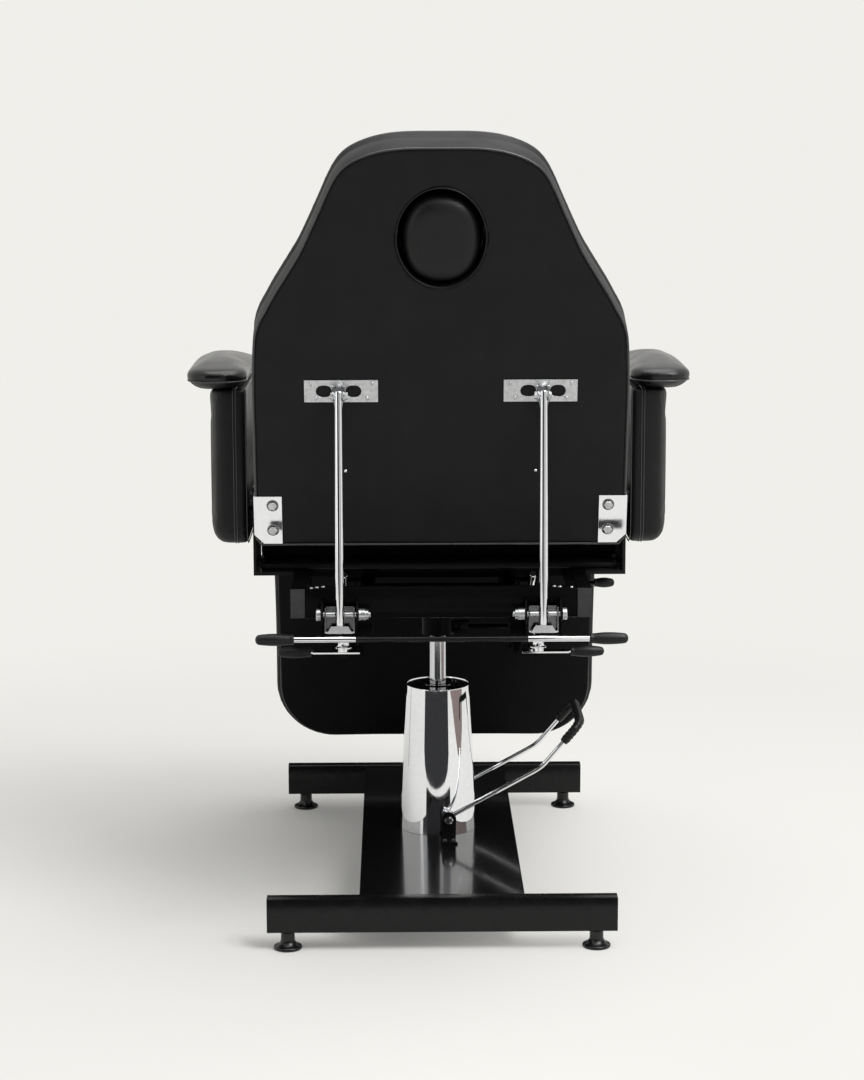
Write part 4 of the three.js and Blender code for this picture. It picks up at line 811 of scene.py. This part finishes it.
SHROUD_FOOT_R, SHROUD_TOP_R, SHROUD_WALL = mm(69.5, 57.8, 2)
SHROUD_RIM = [(0, -0.8), (-0.25, -0.2), (-0.8, 0), (-1.6, 0), (-2, -0.5)]
LID = [(15.8, -5), (55.4, -5), (55.4, -0.6), (54.8, 0), (24, 0), (22.5, 1.8), (17.5, 2.2), (15.8, 1)]
PEDAL_X, PEDAL_ARM, PEDAL_Z = mm(18, 82, 124)
PEDAL_KNEE, PEDAL_TIP = Vector((183, 82, 215)) * MM, Vector((252, 82, 296)) * MM
ALONG_Y = Matrix.Rotation(-QUARTER, 4, "X")


def build_pump():
    low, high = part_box("pump_shroud")
    shell = [(SHROUD_FOOT_R, low.z), (SHROUD_FOOT_R, low.z + 0.4 * MM)]
    shell += [(mix(SHROUD_FOOT_R, SHROUD_TOP_R, t), mix(low.z, high.z, t))
              for t in (*(k / 12 for k in range(1, 12)), 0.993)]
    shell += [(SHROUD_TOP_R + r, high.z + z) for r, z in in_mm(*SHROUD_RIM)]
    shell.append((SHROUD_FOOT_R - SHROUD_WALL, low.z))
    middle_line = at(0, COLUMN.y, 0)
    Shape(middle_line).lathe(shell, steps=128, ring=True).make(
        "shroud_shell", "chrome", "base", ("pump_shroud",), angle=50)
    lid = Shape(at(0, COLUMN.y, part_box("shroud_cap")[1].z - 3 * MM))
    lid.lathe(in_mm(*LID), steps=96, ring=True)
    lid.lathe(in_mm((4, -1), (4, 2.4), (3.2, 3)), at(30 * MM, 30 * MM, 0), 6)
    lid.make("shroud_lid", "gloss", "base", ("shroud_cap",))
    low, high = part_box("piston_rod")
    rod = [(14 * MM, low.z), (15 * MM, low.z + 1 * MM), (15 * MM, mix(low.z, high.z, 0.5)),
           (15 * MM, high.z - 1 * MM), (14 * MM, high.z)]
    Shape(middle_line).lathe(rod, steps=96).make("piston", "rod", "mast", ("piston_rod",))


def pedal_line(down=None, steps=10):
    """The pedal's centre line round its tip; with down, only from that far below the tip."""
    start = Vector((PEDAL_X, PEDAL_ARM, PEDAL_Z))
    arm, rise = (PEDAL_KNEE - start).normalized(), (PEDAL_TIP - PEDAL_KNEE).normalized()

    def bend(a, b, c):
        return [a * (1 - t) ** 2 + b * 2 * t * (1 - t) + c * t * t for t in (i / steps for i in range(steps + 1))]

    if down is None:
        half = [start, *bend(PEDAL_KNEE - arm * 14 * MM, PEDAL_KNEE, PEDAL_KNEE + rise * 14 * MM)]
    else:
        half = [PEDAL_TIP - rise * down]
    half += bend(PEDAL_TIP - rise * 24 * MM, PEDAL_TIP, PEDAL_TIP - Vector((0, 24 * MM, 0)))
    return half + [Vector((p.x, -p.y, p.z)) for p in reversed(half)]


def even(points, count):
    """The same line, cut into equal steps."""
    lengths = [0.0]
    for a, b in zip(points, points[1:]):
        lengths.append(lengths[-1] + (b - a).length)
    made, k = [], 0
    for i in range(count + 1):
        want = lengths[-1] * i / count
        while k < len(points) - 2 and lengths[k + 1] < want:
            k += 1
        made.append(points[k].lerp(points[k + 1], (want - lengths[k]) / (lengths[k + 1] - lengths[k])))
    return made


def build_pedal():
    place = at(0, COLUMN.y, 0)
    yoke = Shape(place).tube(pedal_line(), 4 * MM, 28)
    for _, side in SIDES:
        yoke.lathe(in_mm((9.4, -6), (11, -5.2), (11, 5.2), (9.4, 6)),
                   at(PEDAL_X, side * PEDAL_ARM, PEDAL_Z) @ ALONG_Y, 48)
    yoke.index = 1
    shaft = at(PEDAL_X, 0, PEDAL_Z) @ ALONG_Y
    yoke.lathe(in_mm((6, -101), (6, 93)), shaft, 40)
    yoke.lathe(in_mm((5, -105.5), (7.6, -104.2), (7.6, -101)), shaft, 6)
    yoke.make("pedal_rod", ["chrome", "rod"], "pedal", ("pedal_yoke",))
    ribs, per = 30, 6
    line = even(pedal_line(46 * MM), ribs * per)
    last = len(line) - 1

    def radius(i):
        end = min(i, last - i) / per
        dome = math.sqrt(max(0.0, 1 - max(0.0, 1 - end) ** 2)) * 0.25 + 0.75
        return (8.6 - 1.0 * abs(math.sin(math.pi * i / per)) ** 0.6) * dome * MM

    grip = Shape(place).tube(line, radius, 24)
    grip.make("pedal_sleeve", "rubber", "pedal", ("pedal_grip",), angle=60)
    low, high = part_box("pedal_bracket")
    half, floor = (high.x - low.x) / 2, low.z + 4 * MM
    turn = arc(PEDAL_X, PEDAL_Z, 13 * MM, 0, math.pi, 20)
    outline = [(PEDAL_X + half * 0.8, low.z), *turn, (PEDAL_X - half * 0.8, low.z)]
    bracket = Shape()
    bracket.slab(outline, high.y - 4 * MM, high.y, Matrix(((0, 1, 0, 0), (1, 0, 0, 0), (0, 0, 1, 0), (0, 0, 0, 1))))
    bracket.box(low, (high.x, high.y, floor))
    for x in mm(-7, 7):
        bracket.screw((PEDAL_X + x, low.y + 11 * MM, floor), head=2.4 * MM)
    bracket.make("pedal_post", "gloss", "base", ("pedal_bracket",), bevel=0.5 * MM)


# Feet

FOOT = [(21.6, 0), (22.9, 0.5), (23.5, 1.6), (23.5, 4.2), (22.8, 5.2), (20.5, 6.1), (17.4, 7.6), (14.9, 9.6),
        (13.2, 11.8), (12.1, 13.8), (11.5, 16), (11.5, 28.6), (10.7, 29.5), (5, 29.6), (5, 54), (4.2, 55)]


def build_feet():
    for node_name in pairs("levelling_foot_rear", "levelling_foot_front"):
        where, body = middle(node_name), node_name.removeprefix("levelling_")
        foot = Shape().lathe(in_mm(*FOOT), at(where.x, where.y, 0), 64)
        foot.make(f"{body}_turned", "plastic", body, (node_name,))


# Struts and grips

BACK_STRUT_PAST, LEG_STRUT_REACH = mm(26, 495.6)


def build_struts():
    for side, _ in SIDES:
        for kind, clamp_kind, r, over in (("back", "strut", 7 * MM, 8 * MM), ("leg", "leg", 6 * MM, 7 * MM)):
            pin, clamp = pin_of(f"{kind}_strut_turn_{side}"), pin_of(f"{clamp_kind}_clamp_turn_{side}")
            down = (clamp - pin).normalized()
            reach = (clamp - pin).length + BACK_STRUT_PAST if kind == "back" else LEG_STRUT_REACH
            turn = Vector((0, 0, 1)).rotation_difference(down).to_matrix().to_4x4()
            bar = Shape(at(*pin) @ turn)
            bar.lathe([(r * 0.6, -over), (r * 0.92, -over + 0.8 * MM), (r, -over + 2 * MM), (r, reach / 2),
                       (r, reach - 1 * MM), (r - 1 * MM, reach)], steps=48)
            bar.make(f"{kind}_strut_{side}_bar", "chrome", f"{kind}_strut_{side}", (f"{kind}_strut_{side}",))


GRIP_MOUTH = ((0.99, 0.62), (0.93, 0.75), (0.84, 0.87), (0.80, 0.93), (0.86, 0.95), (0.86, 0.985), (0.78, 1))


def grip_profile(r, tip, length):
    """A soft grip's (radius, height) points, from its rounded outer end to its mouth."""
    shares = [(k / 8, QUARTER * k / 8) for k in range(1, 9)]
    points = [(tip * math.sin(a) * 0.98, tip * 0.8 * (1 - math.cos(a))) for _, a in shares]
    points += [(mix(tip, r, math.sin(a)), mix(tip * 0.8, length * 0.5, t)) for t, a in shares]
    return points + [(r * across, length * along) for across, along in GRIP_MOUTH]


def build_grip(node_name, body, side, r, tip, length):
    """One grip, its rounded end on the outer side."""
    low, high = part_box(node_name)
    where = (low + high) / 2
    outer = high.x if side > 0 else low.x
    profile = in_mm(*grip_profile(r, tip, length))
    place = at(outer, where.y, where.z) @ Matrix.Rotation(-side * QUARTER, 4, "Y")
    Shape().lathe(profile, place, 40).make(f"{node_name}_moulded", "rubber", body, (node_name,), angle=60)


def build_grips():
    for name, side in SIDES:
        build_grip(f"release_grip_{name}", "release", side, 10, 8.5, 63)
    for name, side in SIDES:
        build_grip(f"leg_lever_grip_{name}", f"leg_lever_{name}", side, 9.5, 7.5, 56)
    build_grip("swivel_lock_grip", "lock_lever", 1, 9, 7.5, 36)


build_pump()
build_pedal()
build_feet()
build_struts()
build_grips()


# Rigid CAD nodes keep their shape and get a finish, with softened edges

KEPT = {
    "gloss": ["base_plate"],
    "paint": ["base_bar_rear", "base_bar_front", "pump_base", "pump_cylinder"],
    # The frame parts get the darker copy of the black paint, a painted shade.
    "frame": ["swivel_hub", "swivel_lock_lever", "rear_cross_member", "middle_cross_member", "front_cross_member",
              *pairs("side_rail", "inner_rail", "side_bracket", "leg_clamp", "strut_bracket")],
    "chrome": pairs("corner_bracket", "leg_lever"),
    "zinc": pairs("strut_plate"),
}
BEVELS = {"rear_cross_member": 1.4, "base_bar_rear": 1.2, "base_bar_front": 1.2, "base_plate": 1.5}

for look_name, names in KEPT.items():
    for node_name in names:
        part = nodes[node_name]
        part.data.materials.clear()
        part.data.materials.append(LOOKS[look_name])
        bpy.context.view_layer.objects.active = part
        bpy.ops.mesh.customdata_custom_splitnormals_clear()
        shade_smooth(part)
        weld = part.modifiers.new("weld", "WELD")
        weld.merge_threshold = 0.02 * MM
        ease_edges(part, BEVELS.get(node_name, 0.5) * MM, 34)


# Release bar: a black middle between two chrome ends, on two flat arms

RELEASE_LOW, RELEASE_LEVEL, RELEASE_ARM_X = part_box("back_release_bar")[0], 523 * MM, 197.8


def across(y, z, x0, x1):
    """A line along X, its ends given in millimetres."""
    return [(x0 * MM, y, z), (x1 * MM, y, z)]


def build_release_bar():
    y, z = RELEASE_LOW.y + 5 * MM, RELEASE_LEVEL
    pin = pin_of("back_release_turn")
    Shape().tube(across(y, z, -141, 141), 4.5 * MM, 24).make(
        "release_bar_middle", "paint", "release", bevel=0.4 * MM)
    ends = Shape()
    for _, side in SIDES:
        ends.tube(across(y, z, side * 140, side * 250), 5 * MM, 28)
        x = side * RELEASE_ARM_X
        slope = math.atan2(pin.z - z, pin.y - y)
        span = math.hypot(pin.y - y, pin.z - z)
        link = at(0, y, z) @ Matrix.Rotation(slope, 4, "X")
        ends.box(((x - 1.5) * MM, 0, -5 * MM), ((x + 1.5) * MM, span, 5 * MM), link)
        ends.tube(across(pin.y, pin.z, x - 1.5, x + 1.5), 5 * MM, 24)
        ends.tube(across(pin.y, pin.z, x - side * 4.5, x + side * 2.5), 2.5 * MM, 16)
    ends.make("release_bar_ends", "chrome", "release", ("back_release_bar",), bevel=0.3 * MM)


build_release_bar()


BOLT_HEAD_RINGS = ((4.5, 7.8), (4.5, 30.8), (10, 31), (10, 37.4), (8.8, 38.4))
BOLT_NUT_RINGS = ((4.5, 7.8), (4.5, 30.6), (10.4, 30.8), (10.4, 32.6), (9.8, 33), (9.8, 41.4), (8.4, 42),
                  (8.4, 46.4), (4.6, 46.6), (4.6, 49.4), (3.8, 50.2))


def build_strut_clamps():
    """A folded clamp on a cross bolt, with its nut on the inner side, over a bright lock plate."""
    for name, side in SIDES:
        pin, pivot = pin_of(f"back_strut_turn_{name}"), pin_of(f"strut_clamp_turn_{name}")
        lean = math.atan2(pivot.y - pin.y, pin.z - pivot.z)
        clamp = Shape(at(*pivot) @ Matrix.Rotation(lean, 4, "X"))
        clamp.box(mm(-22, 10, -28), mm(22, 12.5, 12))
        for t in (-1, 1):
            clamp.box(mm(t * 22, -7, -28), mm(t * 24.5, 12.5, 12))
        clamp.index = 1
        for t in (-1, 1):
            clamp.box(mm(t * 7.7, -9, -29.5), mm(t * 24, 12, -27))
        lip = [mm(x, y, z) for y in (-11.5, -9) for x, z in ((-14, -18), (14, -18), (21, -30), (-21, -30))]
        clamp.put(lip, caps(2, 4) + band(0, 4, 4))
        clamp.index = 2
        for t, rings in ((side, BOLT_HEAD_RINGS), (-side, BOLT_NUT_RINGS)):
            clamp.lathe(in_mm(*rings), Matrix.Rotation(t * QUARTER, 4, "Y"), 24)
        # The clamp body is chrome darkened, a painted shade.
        clamp.make(f"strut_clamp_{name}_folded", ["steel", "rod", "zinc"], f"strut_clamp_{name}",
                   (f"strut_clamp_{name}",), bevel=0.5 * MM)


build_strut_clamps()


# Small fixings


def build_back_fixings():
    rear = TO_BACK @ at(0, -BACK_DEPTH, 0) @ Matrix.Rotation(QUARTER, 4, "X")
    plates, stops, washers, heads = (Shape(rear) for _ in range(4))
    for _, side in SIDES:
        for dx, dz, turn in ((-50, 13, 0.2), (50, 13, 0.9), (-42, -12, 0.5), (42, -12, 1.2)):
            plates.screw(mm(side * 162 + dx, 230 + dz, 3.5), slot_turn=turn)
        stops.screw(mm(side * 156.5, 90, 0.5), r=2.8 * MM, head=3 * MM)
        for up in (29, -15):
            place = at(side * (BACK_HALF - 28 * MM), up * MM, 0)
            washers.lathe(in_mm((10, 2.6), (10, 3.4), (7.4, 3.9)), place, 36)
            heads.lathe(in_mm((7.8, 3.6), (7.8, 7.4), (6.6, 8.4)), place @ Matrix.Rotation(0.3 + up, 4, "Z"), 6)
    plates.make("strut_plate_screws", "zinc", "back")
    stops.make("back_stop_screws", "chrome", "back")
    washers.make("corner_bolt_washers", "steel", "back")
    heads.make("corner_bolt_heads", "zinc", "back", bevel=0.4 * MM)


COLLAR = [(12.5, 0.5), (13.5, 1), (13.5, 2.6), (10.5, 3.4), (9.2, 6), (9, 11), (9.6, 15), (11.5, 17.5), (14.5, 18.6),
          (14.5, 21), (13.6, 21.8)]


def build_frame_fixings():
    plugs, bolts = Shape(), Shape()
    for name, _ in SIDES:
        low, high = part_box(f"side_rail_{name}")
        plugs.box((low.x + 0.8 * MM, low.y - 1.2 * MM, low.z + 0.8 * MM),
                  (high.x - 0.8 * MM, low.y - 0.1 * MM, high.z - 0.8 * MM))
    low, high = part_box("rear_cross_member")
    for x, y, r in ((-0.204, 8, 3.4), (-0.194, 14, 3.2), (-0.213, 2.5, 2.6), (0.186, 11, 3.2), (0.195, 8, 3.4),
                    (0.214, 3, 2.8)):
        bolts.screw((x, low.y + y * MM, high.z), r=r * MM, head=2 * MM, slot_turn=y)
    collars = Shape()
    for name, _ in SIDES:
        pin, top = pin_of(f"leg_lever_turn_{name}"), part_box(f"leg_lever_{name}")[1].z
        collars.lathe(in_mm(*COLLAR), at(pin.x, pin.y, top), 40)
    collars.make("leg_lever_collars", "chrome", "seat_frame", angle=50)
    plugs.make("rail_end_plugs", "plug", "seat_frame", bevel=0.6 * MM)
    bolts.make("seat_frame_screws", "zinc", "seat_frame")


build_back_fixings()
build_frame_fixings()


# Floor, light and background

PALE = (0.871, 0.863, 0.831)
FLOOR_TONE = (0.82, 0.812, 0.782)
FLOOR_HALF = 14.0
FADE_NEAR, FADE_FAR = 0.7, 2.2
# Across X the floor's painted light grows from its least share to its lit share.
LIT_FROM, LIT_TO, LEAST_SHARE, LIT_SHARE = -0.15, 0.55, 0.16, 0.70
FILL_LEVEL = 0.32


def light(name, where, target, size, power):
    data = bpy.data.lights.new(name, "AREA")
    data.shape, data.size, data.size_y = "RECTANGLE", *size
    data.energy = power
    made = bpy.data.objects.new(name, data)
    made.location = where
    made.rotation_mode = "QUATERNION"
    made.rotation_quaternion = (Vector(target) - Vector(where)).to_track_quat("-Z", "Y")
    scene.collection.objects.link(made)


def larger(tree, a, b):
    return node(tree, "ShaderNodeMath", a, b, operation="MAXIMUM").outputs["Value"]


def rays(tree, *kinds):
    """1 for rays of these kinds, 0 for the rest."""
    path = node(tree, "ShaderNodeLightPath")
    total = path.outputs[kinds[0]]
    for kind in kinds[1:]:
        total = larger(tree, total, path.outputs[kind])
    return total


def staged(name, corners, faces, look):
    made = new_object(name, corners, faces, [look])
    return made


def build_floor():
    """A pale floor: near the part it is lit and takes shadows, and further off it turns into the background. Towards
    +X more of it glows pale, a painted light that thins the shadows on that side.
    """
    look = blank_material("floor")
    tree = look.node_tree
    soft = node(tree, "ShaderNodeBsdfDiffuse", Color=[*FLOOR_TONE, 1])
    pale = node(tree, "ShaderNodeEmission", Color=[*PALE, 1], Strength=1.0)
    where = node(tree, "ShaderNodeTexCoord").outputs["Object"]
    reach = node(tree, "ShaderNodeVectorMath", where, operation="LENGTH").outputs["Value"]
    across = node(tree, "ShaderNodeSeparateXYZ", where).outputs["X"]
    fade = mapped(tree, reach, FADE_NEAR, FADE_FAR, 0.0, 1.0, interpolation_type="SMOOTHSTEP")
    # Painted light: towards +X more of the floor glows pale.
    lit_side = mapped(tree, across, LIT_FROM, LIT_TO, LEAST_SHARE, LIT_SHARE, interpolation_type="SMOOTHSTEP")
    both = node(tree, "ShaderNodeMath", larger(tree, fade, lit_side), rays(tree, "Is Camera Ray", "Is Glossy Ray"),
                operation="MULTIPLY").outputs["Value"]
    blend = node(tree, "ShaderNodeMixShader", both, soft.outputs["BSDF"], pale.outputs["Emission"])
    node(tree, "ShaderNodeOutputMaterial", blend.outputs["Shader"])
    corners = [(x * FLOOR_HALF, y * FLOOR_HALF, 0) for x, y in ((-1, -1), (1, -1), (1, 1), (-1, 1))]
    staged("floor", corners, [(0, 1, 2, 3)], look)


def build_world():
    world = bpy.data.worlds.new("world")
    scene.world = world
    world.use_nodes = True
    tree = world.node_tree
    tree.nodes.clear()
    seen = node(tree, "ShaderNodeBackground", Color=[*PALE, 1], Strength=1.0).outputs["Background"]
    fill = node(tree, "ShaderNodeBackground", Color=[1, 1, 1, 1], Strength=FILL_LEVEL).outputs["Background"]
    direct = rays(tree, "Is Camera Ray", "Is Glossy Ray", "Is Transmission Ray")
    blend = node(tree, "ShaderNodeMixShader", direct, fill, seen)
    node(tree, "ShaderNodeOutputWorld", blend.outputs["Shader"])


def curved(radius, feet, top):
    """A card bent round the column: feet gives its lower edge as (degrees right of straight back, height)."""
    rows = []
    for turn, foot in feet:
        a = math.radians(turn)
        x, y = radius * math.sin(a), COLUMN.y - radius * math.cos(a)
        rows += [(x, y, foot), (x, y, max(top, foot + 1 * MM))]
    return rows, [(2 * i, 2 * i + 2, 2 * i + 3, 2 * i + 1) for i in range(len(feet) - 1)]


def upright(x0, x1, y0, y1, low, high):
    """A flat card that stands on the line from (x0, y0) to (x1, y1)."""
    return [(x0, y0, low), (x1, y1, low), (x1, y1, high), (x0, y0, high)], [(0, 1, 2, 3)]


TONES = {"dark": (0.012, 0.012, 0.013), "dim": (0.040, 0.040, 0.042), "brown": (0.27, 0.215, 0.20),
         "grey": (0.30, 0.30, 0.31)}
# Painted reflections: each card's tone and where it stands.
CARDS = (
    ("dim", curved(0.77, [(-45, 0.12), (-42, 0.085), (-36, 0.062), (-24, 0.047), (6, 0.045), (20, 0.055),
                          (29, 0.075), (33, 0.11)], 0.275)),
    ("brown", curved(0.75, [(42, 0.26), (56, 0.16), (66, 0.10), (77, 0.095), (86, 0.15), (92, 0.26)], 0.29)),
    ("grey", curved(1.0, [(-109.5, 0.0), (-107, 0.0)], 0.3)),
    ("dark", upright(-0.02, 0.24, -1.9, -1.9, 0.0, 0.3)),
    ("dark", upright(-1.1, 1.1, 1.2, 1.2, 0.02, 0.68)),
    ("dark", upright(-5.6, 0.5, -5.2, -5.2, 0.3, 5.0)),
    ("grey", upright(1.4, 3.6, -4.9, -4.2, 0.3, 4.0)),
    ("dim", upright(-0.318, -0.272, -0.87, -0.87, 0.256, 0.278)),
    ("dim", upright(0.300, 0.366, -0.87, -0.87, 0.256, 0.278)),
)


def build_cards():
    """Glowing cards seen only in reflections: painted reflections of dark, brown and grey things for the chrome and
    gloss parts to mirror.
    """
    for index, (tone, (corners, faces)) in enumerate(CARDS):
        name = f"painted_reflection_{index}"
        look = blank_material(name)
        glow = node(look.node_tree, "ShaderNodeEmission", Color=[*TONES[tone], 1], Strength=1.0)
        node(look.node_tree, "ShaderNodeOutputMaterial", glow.outputs["Emission"])
        card = staged(name, corners, faces, look)
        card.visible_camera = card.visible_diffuse = card.visible_shadow = False


build_floor()
build_world()
build_cards()
light("key", (2.1, -2.2, 4.0), (0, 0, 0.5), (2.2, 2.2), 140)
light("fill", (-3.0, -3.0, 1.6), (0, 0, 0.6), (1.6, 2.4), 10)
light("top", (0.4, 0.2, 4.0), (0, 0, 0.3), (3.0, 3.0), 87)

scene.view_settings.view_transform = "Standard"
